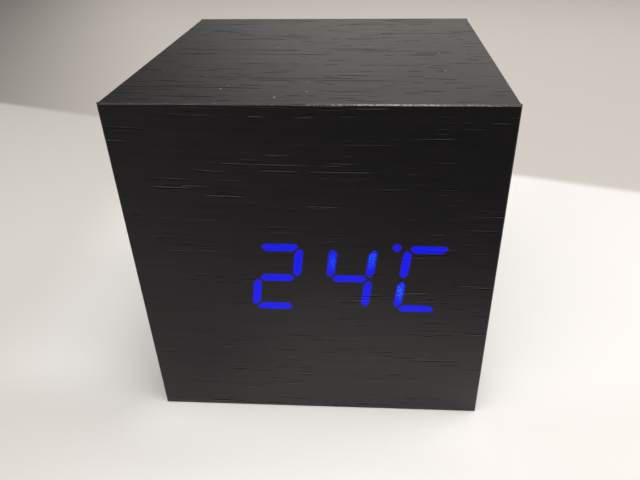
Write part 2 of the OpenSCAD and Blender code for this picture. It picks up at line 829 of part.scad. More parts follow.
// Pockets in the bay's end walls that hold the contact plates, on side -1 or 1, from one cell to another
module contact_pocket(side, first_cell, last_cell) {
    low = cell_z(last_cell) - contact_w / 2 - slip;
    high = cell_z(first_cell) + contact_w / 2 + slip;
    translate([side * bay_in_len / 2, 0, (low + high) / 2])
        centred_block(2 * contact_pocket_t, contact_inner_y - slip, contact_outer_y + slip, high - low);
}

module tag_slot(side, cell) {
    translate([side * (bay_in_len / 2 + contact_t / 2), 0, cell_z(cell)])
        centred_block(contact_t + 2 * slip, bay_floor_out_y - over, contact_inner_y + over, tag_w + 2 * slip);
}

module cover_plate() {
    plate_w = cover_pocket_w - 2 * cover_fit;
    plate_h = cover_pocket_h - 2 * cover_fit;
    intersection() {
        translate([0, 0, mid_z]) upright(cover_in_y, cover_out_y)
            rounded_rectangle(plate_w, plate_h, cover_corner_r - cover_fit);
        chamfered_edges(plate_w / 2, mid_z - plate_h / 2, mid_z + plate_h / 2, cover_in_y, cover_out_y);
    }
}

module rear_cover() {
    bay_out_h = bay_in_h + 2 * bay_wall;
    color("#1e1e20") difference() {
        union() {
            cover_plate();
            translate([0, 0, bay_mid_z])
                centred_block(bay_out_len, bay_floor_out_y, cover_in_y + slip, bay_out_h);
            for (side = [-1, 1]) translate([side * boss_x, 0, strip_z])
                bar(boss_r, button_board_face_y, cover_in_y + slip);
        }
        upright(rim_y, cover_out_y + over) door_opening();
        bay_channels();
        hinge_bar(hinge_r + hinge_relief, door_w / 2 + door_gap);
        hinge_bar(hinge_pin_r + hinge_fit, door_w / 2 + door_gap + hinge_pin_len);
        contact_pocket(-1, 0, 0);
        contact_pocket(-1, 1, 2);
        contact_pocket(1, 0, 1);
        contact_pocket(1, 2, 2);
        tag_slot(-1, 0);
        tag_slot(1, 2);
        latch_notch();
        thumb_scoop();
        sound_slots();
        for (x = button_xs) translate([x, 0, strip_z])
            bar(button_r + button_fit, cover_in_y - over, cover_out_y + over);
        translate([jack_x, 0, strip_z])
            bar(jack_nose_r + jack_nose_fit, cover_in_y - over, cover_out_y + over);
        for (side = [-1, 1]) translate([side * boss_x, 0, strip_z])
            bar(screw_r + screw_fit, button_board_face_y - over, button_board_face_y + boss_pilot_depth);
        corner_places() {
            bar(screw_r + screw_hole_gap, cover_in_y - over, cover_out_y + over);
            bar(screw_head_r + screw_hole_gap, cover_out_y - screw_head_h - slip, cover_out_y + over);
        }
    }
}

module latch_notch() {
    low = latch_low_z - latch_gap;
    high = door_low_z;
    upright(cover_in_y - over, cover_out_y + over) translate([0, (low + high) / 2])
        square([latch_w + 2 * door_gap, high - low], center = true);
}

module thumb_scoop() {
    centre_z = latch_low_z - latch_gap;
    translate([0, cover_out_y + scoop_r - scoop_depth, centre_z]) rotate([0, 90, 0])
        cylinder(h = latch_w + 2 * door_gap, r = scoop_r, center = true);
}

module sound_slots() {
    slot_h = lower_strip_h / 2;
    first_x = latch_w / 2 + 2 * slot_w;
    for (side = [-1, 1]) for (i = [0 : slot_count - 1])
        translate([side * (first_x + 2 * i * slot_w), 0, room_low_z + lower_strip_h / 2])
            upright(cover_in_y - over, cover_out_y + over) rounded_rectangle(slot_w, slot_h, slot_round);
}

module cover_screws() {
    seat_y = cover_out_y - screw_head_h - slip;
    color("#3a3a3c") corner_places() translate([0, seat_y, 0])
        screw(seat_y - cover_in_y + block_len - over - pilot_spare);
}

// Battery door: it swings up and out on two pins at its top edge
module battery_door() {
    inner_y = cover_out_y - door_t;
    color("#202022") {
        difference() {
            union() {
                intersection() {
                    upright(inner_y, cover_out_y) translate([-door_w / 2, door_low_z])
                        square([door_w, hinge_z - door_low_z]);
                    chamfered_edges(door_w / 2, door_low_z, hinge_z + hinge_r + over, inner_y, cover_out_y);
                }
                upright(inner_y, cover_out_y) translate([-latch_w / 2, latch_top_z - latch_leg_t])
                    square([latch_w, door_low_z - latch_top_z + latch_leg_t + edge_chamfer + slip]);
                hinge_bar(hinge_r, door_w / 2);
                hinge_bar(hinge_pin_r, door_w / 2 + door_gap + hinge_pin_len - slip);
                for (i = [0 : door_rib_count - 1])
                    translate([(i - (door_rib_count - 1) / 2) * door_w / door_rib_count, 0, bay_mid_z])
                        centred_block(door_rib_w, inner_y - door_rib_h, inner_y, bay_in_h - 2 * bay_wall);
            }
            for (i = [0 : grip_count - 1]) translate([0, 0, door_low_z + (i + 1) * grip_pitch])
                centred_block(latch_w, cover_out_y - grip_h, cover_out_y + over, grip_w);
        }
    }
}

// Latch tongue: it goes inward below the bay, turns back and hooks behind the plate
module door_latch() {
    inner_y = cover_out_y - door_t;
    turn_y = inner_y - latch_depth + latch_leg_t + latch_open / 2;
    outer_r = latch_open / 2 + latch_leg_t;
    catch_y = cover_in_y - slip;
    turn = [turn_y, latch_mid_z];
    outline = concat(
        [[inner_y, latch_top_z]],
        arc_points(turn, outer_r, 90, 270, 12),
        [
            [catch_y - latch_hook_len, latch_low_z], [catch_y - latch_hook_len / 3, latch_low_z - latch_hook],
            [catch_y, latch_low_z - latch_hook], [catch_y, latch_low_z], [cover_out_y, latch_low_z],
            [cover_out_y, latch_low_z + latch_leg_t]
        ],
        arc_points(turn, latch_open / 2, 270, 90, 12),
        [[inner_y, latch_top_z - latch_leg_t]]
    );
    color("#202022") sideways(-latch_w / 2, latch_w / 2) polygon(outline);
}

// Contacts: plates in the end walls, with a bump for each positive end and a spring for each negative end
module contact_plate(side, first_cell, last_cell) {
    low = cell_z(last_cell) - contact_w / 2;
    high = cell_z(first_cell) + contact_w / 2;
    translate([side * (bay_in_len / 2 + contact_t / 2), 0, (low + high) / 2])
        centred_block(contact_t, contact_inner_y, contact_outer_y, high - low);
}

module contact_bump(side, cell) {
    translate([side * bay_in_len / 2, cell_y, cell_z(cell)]) rotate([0, -side * 90, 0])
        cylinder(h = contact_bump_h, r1 = contact_bump_r, r2 = contact_bump_r / 2);
}

// One unbroken conical helix from the plate to the cell
spring_base_r_share = 0.62;
spring_tip_r_share = 0.36;
spring_foot = spring_wire_d / 2 - slip;
spring_rings = rings_per_turn * spring_turns;
function spring_r(t) = cell_r * (spring_base_r_share + (spring_tip_r_share - spring_base_r_share) * t);
function spring_x(t) = spring_foot + (spring_len - spring_wire_d / 2 - spring_foot) * t;
function spring_point(t) = let (turned = 360 * spring_turns * t)
    [spring_x(t), spring_r(t) * cos(turned), spring_r(t) * sin(turned)];
spring_path = [for (i = [0 : spring_rings]) spring_point(i / spring_rings)];
spring_own_gap = min([for (i = [0 : spring_rings]) for (j = [i + rings_per_turn / 2 : spring_rings])
    norm(spring_path[j] - spring_path[i])]) - spring_wire_d;
echo(spring_least_gap_to_itself = spring_own_gap);

module contact_spring(side, cell) {
    translate([side * bay_in_len / 2, cell_y, cell_z(cell)]) rotate([0, 0, side > 0 ? 180 : 0])
        tube(spring_path, spring_wire_d / 2, spring_sides, [0, 1, 0]);
}

module contact_tag(side, cell) {
    translate([side * (bay_in_len / 2 + contact_t / 2), 0, cell_z(cell)])
        centred_block(contact_t, bay_floor_out_y - tag_out, contact_inner_y + slip, tag_w);
}

module negative_contact() {
    color("#c6c8c4") {
        contact_plate(-1, 0, 0);
        contact_tag(-1, 0);
        contact_spring(-1, 0);
    }
}

module positive_contact() {
    color("#c6c8c4") {
        contact_plate(1, 2, 2);
        contact_tag(1, 2);
        contact_bump(1, 2);
    }
}

module left_link_contact() {
    color("#c6c8c4") {
        contact_plate(-1, 1, 2);
        contact_bump(-1, 1);
        contact_spring(-1, 2);
    }
}

module right_link_contact() {
    color("#c6c8c4") {
        contact_plate(1, 0, 1);
        contact_bump(1, 0);
        contact_spring(1, 1);
    }
}

// A cell with its button towards +X or -X
module cell(i, facing) {
    rest_x = (spring_len - contact_bump_h) / 2;
    shoulder = cell_len - cell_button_h;
    start_x = -facing * (cell_len / 2 - rest_x);
    color("#2f3338") translate([start_x, cell_y, cell_z(i)]) rotate([0, facing * 90, 0])
        rotate_extrude() polygon([
            [0, 0], [cell_r - 2 * cell_crimp, 0], [cell_r - cell_crimp, cell_crimp / 2],
            [cell_r, cell_crimp], [cell_r, shoulder - cell_crimp], [cell_r - cell_crimp, shoulder],
            [cell_button_r + cell_crimp, shoulder], [cell_button_r, shoulder + cell_crimp / 2],
            [cell_button_r, cell_len - cell_crimp / 4], [cell_button_r - cell_crimp / 4, cell_len],
            [0, cell_len]
        ]);
}

module battery_cell_top() {
    cell(0, 1);
}

module battery_cell_middle() {
    cell(1, -1);
}

module battery_cell_bottom() {
    cell(2, 1);
}

// Leads from the contact tags, along the back of the bay, to the button board
module lead(side, cell) {
    tag_x = side * (bay_in_len / 2 - lead_r - slip);
    run_y = bay_floor_out_y - tag_out;
    start = [tag_x, run_y + lead_r, cell_z(cell)];
    end = [side * button_board_w / 3, button_board_back_y, strip_z - button_board_h / 2 + lead_r + slip];
    turn = [end.x, bay_floor_out_y - 2 * lead_r, end.z];
    tube(concat(bezier_path([
        start, start + [0, 0, tag_out], [tag_x, run_y - tag_out, end.z - tag_out],
        [end.x, run_y - tag_out, end.z], turn
    ], lead_rings), [end]), lead_r, lead_sides, [1, 0, 0]);
}

module black_lead() {
    color("#1a1a1a") lead(-1, 0);
}

module red_lead() {
    color("#b3201c") lead(1, 2);
}

// Button board with its switches and the jack
module button_board() {
    color("#1f5a3a") translate([0, 0, strip_z]) difference() {
        centred_block(button_board_w, button_board_back_y, button_board_face_y, button_board_h);
        for (side = [-1, 1]) translate([side * boss_x, 0, 0])
            bar(screw_r + screw_hole_gap, button_board_back_y - over, button_board_face_y + over);
    }
}

module button_board_screws() {
    color("#c9c9c9") for (side = [-1, 1]) translate([side * boss_x, button_board_back_y, strip_z])
        mirror([0, 1, 0]) screw(circuit_t + boss_pilot_depth - pilot_spare);
}

module button_socket() {
    color("#eeeeea") translate([socket_pos.x, button_board_back_y, strip_z])
        mirror([0, 1, 0]) ribbon_socket();
}

module switch_housings() {
    for (x = button_xs) translate([x, button_board_face_y, strip_z]) {
        color("#29292b") difference() {
            centred_block(switch_side, 0, switch_h, switch_side);
            bar(stem_r + stem_fit, switch_h - stem_hidden_h, switch_h + over);
        }
        color("#c9c9c9") for (sx = [-1, 1]) for (sz = [-1, 1])
            translate([sx * (switch_side + switch_leg_w) / 2, 0, sz * switch_side / 3])
                centred_block(switch_leg_w, 0, switch_leg_out, switch_leg_w);
    }
}

module switch_stem(i) {
    stem_top = switch_h + stem_free_h;
    color("#4a4a4c") translate([button_xs[i], button_board_face_y, strip_z])
        bar(stem_r, switch_h - stem_hidden_h + button_travel + slip, stem_top);
}

module set_switch_stem() {
    switch_stem(0);
}

module up_switch_stem() {
    switch_stem(1);
}

module down_switch_stem() {
    switch_stem(2);
}

module button_cap(i) {
    flange_y = cover_in_y - button_rest_gap;
    tail_y = flange_y - button_flange_t - button_tail;
    top_y = cover_out_y + button_proud;
    color("#2a2a2c") translate([button_xs[i], 0, strip_z]) rotate([-90, 0, 0])
        rotate_extrude() polygon(concat(
            [
                [0, tail_y], [stem_r, tail_y], [stem_r, flange_y - button_flange_t],
                [button_flange_r, flange_y - button_flange_t], [button_flange_r, flange_y],
                [button_r, flange_y]
            ],
            arc_points([button_r - button_round, top_y - button_round], button_round, 0, 90, 6),
            [[0, top_y]]
        ));
}

module set_button() {
    button_cap(0);
}

module up_button() {
    button_cap(1);
}

module down_button() {
    button_cap(2);
}

module power_jack() {
    color("#1b1b1d") translate([jack_x, 0, strip_z]) difference() {
        union() {
            centred_block(jack_side, button_board_face_y, cover_in_y - jack_body_gap, jack_side);
            bar(jack_nose_r, cover_in_y - jack_body_gap - slip, cover_out_y);
        }
        bar(jack_bore_r, button_board_face_y + jack_back_wall, cover_out_y + over);
        translate([0, 0, -jack_bore_r]) centred_block(
            jack_spring_w + 2 * slip, button_board_face_y + jack_back_wall,
            cover_in_y - jack_body_gap - jack_back_wall, 2 * (jack_spring_t + slip));
    }
}

module power_jack_pin() {
    color("#d8c27a") translate([jack_x, 0, strip_z])
        bar(jack_pin_r, button_board_face_y + jack_back_wall, cover_out_y - jack_pin_recess);
}

module power_jack_spring() {
    color("#c6c8c4") translate([jack_x, 0, strip_z - jack_bore_r - slip]) centred_block(
        jack_spring_w, button_board_face_y + jack_back_wall,
        cover_in_y - jack_body_gap - jack_back_wall - slip, jack_spring_t);
}

front_veneer();
top_veneer();
bottom_veneer();
left_veneer();
right_veneer();
rear_veneer();
front_board();
top_board();
bottom_board();
left_board();
right_board();
corner_blocks();
lit_segments();
unlit_segments();
diffuser_film();
light_box();
display_board();
segment_lamps();
display_screws();
clock_chip();
timing_crystal();
coin_cell();
coin_cell_holder();
coin_cell_clip();
alarm_buzzer();
microphone();
temperature_sensor();
capacitor();
display_socket();
ribbon_cable();
rear_cover();
cover_screws();
battery_door();
door_latch();
negative_contact();
positive_contact();
left_link_contact();
right_link_contact();
battery_cell_top();
battery_cell_middle();
battery_cell_bottom();
black_lead();
red_lead();
button_board();
button_board_screws();
button_socket();
switch_housings();
set_button();
up_button();
down_button();
set_switch_stem();
up_switch_stem();
down_switch_stem();
power_jack();
power_jack_pin();
power_jack_spring();
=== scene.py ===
"""Looks of a cube-shaped alarm clock in black wood veneer, made around its CAD model.

Each sub-assembly of the clock is a class. It dresses the CAD pieces that have the right shape and builds
the pieces that need a finer one. Each finish is a frozen dataclass that fills one procedural material.
Sizes are in millimetres, and MM turns them into metres.
"""

import logging
import math
from abc import ABC, abstractmethod
from dataclasses import dataclass, field
from enum import Enum
from typing import Any, ClassVar, Iterable, Sequence, Union

import bmesh
import bpy
from mathutils import Matrix, Vector


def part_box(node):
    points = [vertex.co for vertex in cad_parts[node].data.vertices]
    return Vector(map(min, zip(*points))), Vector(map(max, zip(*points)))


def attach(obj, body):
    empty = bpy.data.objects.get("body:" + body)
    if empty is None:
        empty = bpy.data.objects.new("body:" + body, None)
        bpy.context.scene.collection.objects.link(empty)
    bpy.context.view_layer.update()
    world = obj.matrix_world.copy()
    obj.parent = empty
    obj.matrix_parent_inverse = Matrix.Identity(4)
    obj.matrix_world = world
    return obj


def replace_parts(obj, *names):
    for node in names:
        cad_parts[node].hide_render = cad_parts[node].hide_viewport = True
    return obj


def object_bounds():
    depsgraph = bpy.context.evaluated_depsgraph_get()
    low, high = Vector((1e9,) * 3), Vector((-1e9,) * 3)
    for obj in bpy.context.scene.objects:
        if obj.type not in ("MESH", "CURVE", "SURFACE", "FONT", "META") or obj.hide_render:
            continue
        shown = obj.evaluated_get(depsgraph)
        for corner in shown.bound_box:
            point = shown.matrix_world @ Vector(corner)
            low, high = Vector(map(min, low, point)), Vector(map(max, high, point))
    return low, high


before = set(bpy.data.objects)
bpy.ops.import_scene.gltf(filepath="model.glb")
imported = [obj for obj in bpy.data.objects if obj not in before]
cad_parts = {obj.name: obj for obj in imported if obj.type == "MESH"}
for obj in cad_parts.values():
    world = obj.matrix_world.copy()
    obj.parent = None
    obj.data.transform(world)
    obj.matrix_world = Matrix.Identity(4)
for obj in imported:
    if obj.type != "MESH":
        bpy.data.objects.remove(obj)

MM = 0.001
CASE = "case"
CAD_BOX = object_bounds()
LOW, HIGH = (corner / MM for corner in CAD_BOX)
BLACK = (0.0, 0.0, 0.0)
TURN_STEPS = 48
CREASE = math.radians(35.0)
LOG = logging.getLogger("clock")

Colour = tuple[float, float, float]
Size = tuple[float, float, float]
Span = tuple[float, float]
Fade = tuple[float, float, float, float]
Number = Union["Wire", float]
Place = Sequence["Wire"]


class Wire:
    """One output socket of a material. Arithmetic on it adds Math nodes to the material."""

    def __init__(self, recipe: "Recipe", socket: bpy.types.NodeSocket) -> None:
        """Keep the socket and the recipe that it belongs to."""
        self.recipe = recipe
        self.socket = socket

    def __add__(self, other: Number) -> "Wire":
        """Sum of two numbers."""
        return self.recipe.math("ADD", self, other)

    __radd__ = __add__

    def __mul__(self, other: Number) -> "Wire":
        """Product of two numbers."""
        return self.recipe.math("MULTIPLY", self, other)

    __rmul__ = __mul__

    def __sub__(self, other: Number) -> "Wire":
        """This number less another."""
        return self.recipe.math("SUBTRACT", self, other)

    def __rsub__(self, other: Number) -> "Wire":
        """Another number less this one."""
        return self.recipe.math("SUBTRACT", other, self)

    def __truediv__(self, other: Number) -> "Wire":
        """This number over another."""
        return self.recipe.math("DIVIDE", self, other)

    def __abs__(self) -> "Wire":
        """This number without its sign."""
        return self.recipe.math("ABSOLUTE", self)

    def least(self, other: Number) -> "Wire":
        """The smaller of two numbers."""
        return self.recipe.math("MINIMUM", self, other)

    def most(self, other: Number) -> "Wire":
        """The larger of two numbers."""
        return self.recipe.math("MAXIMUM", self, other)

    def root(self) -> "Wire":
        """Square root of this number."""
        return self.recipe.math("SQRT", self)

    def rise(self, low: float, high: float) -> "Wire":
        """0 below low, 1 above high, and a smooth step between them."""
        step = {"Value": self, "From Min": low, "From Max": high}
        return self.recipe.add("ShaderNodeMapRange", {"interpolation_type": "SMOOTHSTEP"}, step)

    def fall(self, low: float, high: float) -> "Wire":
        """1 below low, 0 above high, and a smooth step between them."""
        return 1.0 - self.rise(low, high)

    def within(self, start: float, full: float, fade: float, end: float) -> "Wire":
        """1 from full to fade, 0 before start and past end, and smooth steps between them."""
        return self.rise(start, full) * self.fall(fade, end)


class Recipe:
    """The node tree of one material or of the world, filled node by node."""

    MIX_FACTOR, MIX_FIRST, MIX_SECOND, MIX_RESULT = 0, 6, 7, 2

    def __init__(self, owner: bpy.types.Material | bpy.types.World) -> None:
        """Start an empty tree.

        Args:
            owner: The material or the world that holds the tree.
        """
        owner.use_nodes = True
        self.tree = owner.node_tree
        self.tree.nodes.clear()

    def add(
        self,
        kind: str,
        settings: dict[str, Any] | None = None,
        inputs: dict[str | int, Any] | None = None,
        output: str | int | None = 0,
    ) -> Wire | None:
        """Add one node.

        Args:
            kind: The node's type.
            settings: Properties of the node, set before its sockets. "stops" holds a ramp's stops.
            inputs: A value or a Wire for each socket, by name or place.
            output: The output socket to return, or None for a node that has none.

        Returns:
            The chosen output.
        """
        node = self.tree.nodes.new(kind)
        for name, value in (settings or {}).items():
            if name == "stops":
                self._set_stops(node.color_ramp, value)
            else:
                setattr(node, name, value)
        for name, value in (inputs or {}).items():
            if isinstance(value, Wire):
                self.tree.links.new(value.socket, node.inputs[name])
            else:
                node.inputs[name].default_value = value
        return None if output is None else Wire(self, node.outputs[output])

    @staticmethod
    def _set_stops(ramp: bpy.types.ColorRamp, stops: Sequence[Span]) -> None:
        """Give a ramp its stops.

        Args:
            ramp: The ramp.
            stops: Place and grey level of each stop.
        """
        while len(ramp.elements) < len(stops):
            ramp.elements.new(1.0)
        for element, (place, level) in zip(ramp.elements, stops):
            element.position = place
            element.color = (level, level, level, 1.0)

    def math(self, operation: str, first: Number, second: Number | None = None) -> Wire:
        """Add one Math node on one or two numbers."""
        inputs = {0: first} if second is None else {0: first, 1: second}
        return self.add("ShaderNodeMath", {"operation": operation}, inputs)

    def split(self, vector: Wire) -> Place:
        """X, Y and Z of a vector."""
        return tuple(self.add("ShaderNodeSeparateXYZ", inputs={0: vector}, output=axis) for axis in "XYZ")

    def place(self) -> Place:
        """Place on the piece in millimetres, as X, Y and Z."""
        scaled = {0: self.add("ShaderNodeTexCoord", output="Object"), "Scale": 1.0 / MM}
        return self.split(self.add("ShaderNodeVectorMath", {"operation": "SCALE"}, scaled))

    def vector(self, x: Number, y: Number, z: Number) -> Wire:
        """A vector from three numbers."""
        return self.add("ShaderNodeCombineXYZ", inputs={0: x, 1: y, 2: z})

    def noise(self, where: Wire, detail: float = 2.0, roughness: float = 0.5, bend: float = 0.0) -> Wire:
        """Soft noise from 0 to 1, with features about one unit wide.

        Args:
            where: Place in units of the feature size.
            detail: How many finer layers are added.
            roughness: How strong the finer layers are.
            bend: How much the pattern is distorted.

        Returns:
            The noise as a number.
        """
        inputs = {"Vector": where, "Scale": 1.0}
        inputs |= {"Detail": detail, "Roughness": roughness, "Distortion": bend}
        return self.add("ShaderNodeTexNoise", {"noise_dimensions": "3D"}, inputs)

    def speckle(self, place: Sequence[Number], size: float | Size, **more: float) -> Wire:
        """Soft noise from 0 to 1, with features of a given size.

        Args:
            place: X, Y and Z in millimetres.
            size: Size of a feature in millimetres, the same all ways or along X, Y and Z.
            more: Detail, roughness and bend of the noise.

        Returns:
            The noise as a number.
        """
        sizes = size if isinstance(size, tuple) else (size, size, size)
        return self.noise(self.vector(*(along / step for along, step in zip(place, sizes))), **more)

    def cells(self, across: Number, along: Number, output: str, randomness: float = 1.0) -> Wire:
        """One output of a flat pattern of cells.

        Args:
            across: Place across the pattern, in cells.
            along: Place along the pattern, in cells.
            output: What to return of the nearest cell.
            randomness: 0 for a square grid and 1 for scattered cells.

        Returns:
            The output.
        """
        settings = {"voronoi_dimensions": "2D", "feature": "F1"}
        inputs = {"Vector": self.vector(across, along, 0.0), "Scale": 1.0, "Randomness": randomness}
        return self.add("ShaderNodeTexVoronoi", settings, inputs, output)

    def mix(self, share: Number, first: Colour | Wire, second: Colour | Wire) -> Wire:
        """Mix two colours.

        Args:
            share: 0 gives the first colour and 1 the second.
            first: A colour or a Wire.
            second: A colour or a Wire.

        Returns:
            The mixed colour.
        """
        pair = [colour if isinstance(colour, Wire) else (*colour, 1.0) for colour in (first, second)]
        inputs = {self.MIX_FACTOR: share, self.MIX_FIRST: pair[0], self.MIX_SECOND: pair[1]}
        return self.add("ShaderNodeMix", {"data_type": "RGBA"}, inputs, self.MIX_RESULT)

    def bump(self, height: Wire, depth: float) -> Wire:
        """Normal of a surface with small relief, from its height as 0 to 1 and its depth in millimetres."""
        inputs = {"Height": height, "Distance": depth * MM, "Strength": 1.0}
        return self.add("ShaderNodeBump", inputs=inputs)

    def surface(self, **inputs: Any) -> None:
        """Close a material's recipe with its shader.

        Args:
            inputs: Sockets of the shader, with underscores for the spaces in their names.
        """
        sockets = {name.replace("_", " "): value for name, value in inputs.items()}
        shader = self.add("ShaderNodeBsdfPrincipled", inputs=sockets, output="BSDF")
        self.add("ShaderNodeOutputMaterial", inputs={"Surface": shader}, output=None)

    def sky(self, colour: Colour, level: Wire) -> None:
        """Close the world's recipe with light of this colour, as strong as level in each direction."""
        light = self.add("ShaderNodeBackground", inputs={"Color": (*colour, 1.0), "Strength": level})
        self.add("ShaderNodeOutputWorld", inputs={"Surface": light}, output=None)


@dataclass(frozen=True)
class Finish(ABC):
    """A procedural material for one kind of surface."""

    name: str
    mixed: ClassVar[dict[str, bpy.types.Material]] = {}

    def material(self) -> bpy.types.Material:
        """The finish's material, made on first use and shared after that.

        Returns:
            The material.
        """
        if self.name not in self.mixed:
            self.mixed[self.name] = bpy.data.materials.new(self.name)
            self.fill(Recipe(self.mixed[self.name]))
        return self.mixed[self.name]

    @abstractmethod
    def fill(self, recipe: Recipe) -> None:
        """Fill the material's recipe."""


def paler(colour: Colour, gain: float, lift: float) -> Colour:
    """A colour made paler by a gain and a lift."""
    return tuple(min(1.0, channel * gain + lift) for channel in colour)


class Grain(Enum):
    """Which way the grain of a veneer runs."""

    ALONG_X = "x"
    ALONG_Y = "y"


@dataclass(frozen=True)
class VeneerPattern:
    """What the veneer's nodes give to its shader."""

    colour: Wire
    pores: Wire
    lacquer: Wire
    roughness: Wire
    normal: Wire


@dataclass(frozen=True)
class Veneer(Finish):
    """Black-stained open-pored veneer with a satin lacquer, worn along the top front edge."""

    grain: Grain = Grain.ALONG_X
    stain: Colour = (0.0054, 0.0048, 0.0051)
    stain_pale: Colour = (0.0108, 0.0096, 0.01)
    pore: Colour = (0.0012, 0.0011, 0.0011)
    lip_wood_and_highlight: Colour = (0.082, 0.075, 0.072)
    bare_wood: Colour = (0.5, 0.47, 0.44)
    dust: Colour = (0.42, 0.4, 0.38)
    bare_gloss: float = 0.12
    roughness: float = 0.5
    lacquer_roughness: float = 0.37
    streak_gloss: float = 0.3
    relief: float = 0.08
    arris: float = 0.21

    # How the fibres sway and lean, with the places between which they lean
    sway_size: Size = (34.0, 19.0, 19.0)
    waviness: float = 0.9
    lean_from: Span = (-60.0, 4.0)
    lean: float = 1.7

    # Length along the grain and width across it
    fine_fibre: Span = (14.0, 0.16)
    streak: Span = (24.0, 0.8)
    broad_band: Span = (26.0, 5.5)
    pore_group: Span = (19.0, 3.4)

    # Rows of pores: distance between rows and length of a pore, and how wide and how close they are
    long_pores: Span = (0.75, 9.0)
    short_pores: Span = (0.45, 3.0)
    row_step: float = 7.31
    coarseness: float = 1.0
    crowding: float = 0.0
    dash_reach: float = 1.25
    pore_t: float = 0.14
    pore_blur: float = 0.09
    pore_share: float = 0.95
    # The pale lips beside the pores are partly paler wood and partly painted highlight on a groove's edge
    lip_t: float = 0.12
    lip_up: float = 0.17
    lip_blur: float = 0.08
    lip_share: float = 0.8

    # Wear of the top front edge from left to right, as share of the width and strength
    wear_along_edge: tuple[Span, ...] = (
        (0.0, 0.16), (0.44, 0.22), (0.54, 0.62), (0.66, 0.78), (0.8, 0.8), (0.88, 0.56), (1.0, 0.46),
    )
    wear_reach: Span = (0.17, 0.26)
    wear_ragged: float = 0.2
    flake_size: Size = (0.42, 0.3, 0.3)
    dust_pitch: float = 4.4
    dust_depth: Span = (0.1, 0.05)
    dust_corner: Span = (-50.0, 0.0)

    def fill(self, recipe: Recipe) -> None:
        """Fill the recipe with the veneer alone.

        Args:
            recipe: The material's recipe.
        """
        pattern = self.pattern(recipe)
        recipe.surface(
            Base_Color=pattern.colour,
            Roughness=pattern.roughness,
            Normal=pattern.normal,
            Specular_IOR_Level=self.bare_gloss,
            Coat_Weight=pattern.lacquer,
            Coat_Roughness=self.lacquer_roughness,
        )

    def pattern(self, recipe: Recipe) -> VeneerPattern:
        """Work out colour, gloss and relief from the place on the clock.

        Args:
            recipe: The recipe that gets the nodes.

        Returns:
            The veneer's pattern.
        """
        place = recipe.place()
        x, y, z = place
        along, across = (x, y) if self.grain is Grain.ALONG_X else (y, x)
        sway = recipe.speckle((along, across, z), self.sway_size, detail=1.0)
        sheet = across + z + sway * self.waviness + along.rise(*self.lean_from) * self.lean

        def fibres(length: float, width: float, **more: float) -> Wire:
            """Noise drawn out along the grain, with streaks of this length and width in millimetres."""
            return recipe.speckle((along, sheet, 0.0), (length, width, 1.0), **more)

        groups = (fibres(*self.pore_group) + self.crowding).rise(0.38, 0.6)

        def dashes(pitch: float, length: float, seed: float) -> tuple[Wire, Wire]:
            """Thin dashes in rows across the grain.

            Args:
                pitch: Distance between rows in millimetres.
                length: Length of a dash in millimetres.
                seed: A number that sets these dashes apart from others.

            Returns:
                The open pores and the pale lips beside them, partly paler wood and partly painted
                highlight.
            """
            rows = sheet / pitch + fibres(length * 4.0, pitch * 5.0)
            row = recipe.math("FLOOR", rows)
            height = (recipe.math("FRACT", rows) - 0.5) * (pitch / self.coarseness)
            side = recipe.math("PINGPONG", row, 1.0) * 2.0 - 1.0
            where = recipe.vector(along / length, row * self.row_step, seed)
            depth = recipe.noise(where, detail=1.2, roughness=0.45).rise(0.55, 0.66) * groups
            pore = (depth * self.pore_t - abs(height)).rise(0.0, self.pore_blur)
            lip = (depth * self.lip_t - abs(height - side * self.lip_up)).rise(0.0, self.lip_blur)
            return pore * depth.rise(0.0, 0.5), lip * depth.rise(0.2, 0.8)

        layers = []
        for seed, (pitch, length) in ((0.0, self.long_pores), (5.0, self.short_pores)):
            layers.append(dashes(pitch * self.coarseness, length * self.dash_reach, seed))
        pores = layers[0][0].most(layers[1][0] * 0.75)
        lips = layers[0][1].most(layers[1][1] * 0.4)
        fine = fibres(*self.fine_fibre, detail=1.5)
        streaks = fibres(*self.streak, detail=2.5, roughness=0.6)
        broad = fibres(*self.broad_band, detail=1.0)
        tone = (fine * 0.45 + streaks * 0.6 + broad * 0.45 - 0.25).rise(0.1, 0.95)

        colour = recipe.mix(tone, self.stain, self.stain_pale)
        # Pale lips beside the pores: partly paler wood, partly a painted highlight where a groove's edge
        # would catch light
        colour = recipe.mix(lips * self.lip_share, colour, self.lip_wood_and_highlight)
        colour = recipe.mix(pores * 0.9, colour, self.pore)
        worn = self.worn_edge(recipe, place)
        colour = recipe.mix(worn, colour, self.bare_wood)
        colour = recipe.mix(self.dust_specks(recipe, place), colour, self.dust)
        relief = 0.7 + fine * 0.08 + streaks * 0.1 - pores * 0.6 + lips * 0.1
        roughness = self.roughness + pores * 0.3 + worn * 0.25
        film = 0.78 + (streaks - 0.5) * self.streak_gloss + (fine - 0.5) * 0.12
        film = film * (1.0 - pores * self.pore_share) * (1.0 - worn * 0.6)
        film = film * (1.0 - self.on_bevel(place) * 0.5)
        return VeneerPattern(colour, pores, film, roughness, recipe.bump(relief, self.relief))

    def on_bevel(self, place: Place) -> Wire:
        """Where the bevelled edges of the case are.

        Args:
            place: X, Y and Z in millimetres.

        Returns:
            1 where two faces meet within the bevel's width, and 0 on a flat face.
        """
        middle, reach = (LOW + HIGH) / 2, (HIGH - LOW) / 2
        near = [
            (abs(along - middle[axis]) - reach[axis]).rise(-self.arris, -0.01)
            for axis, along in enumerate(place)
        ]
        both = (near[0] * near[1]).most(near[1] * near[2]).most(near[0] * near[2])
        return both.rise(0.0, 0.1)

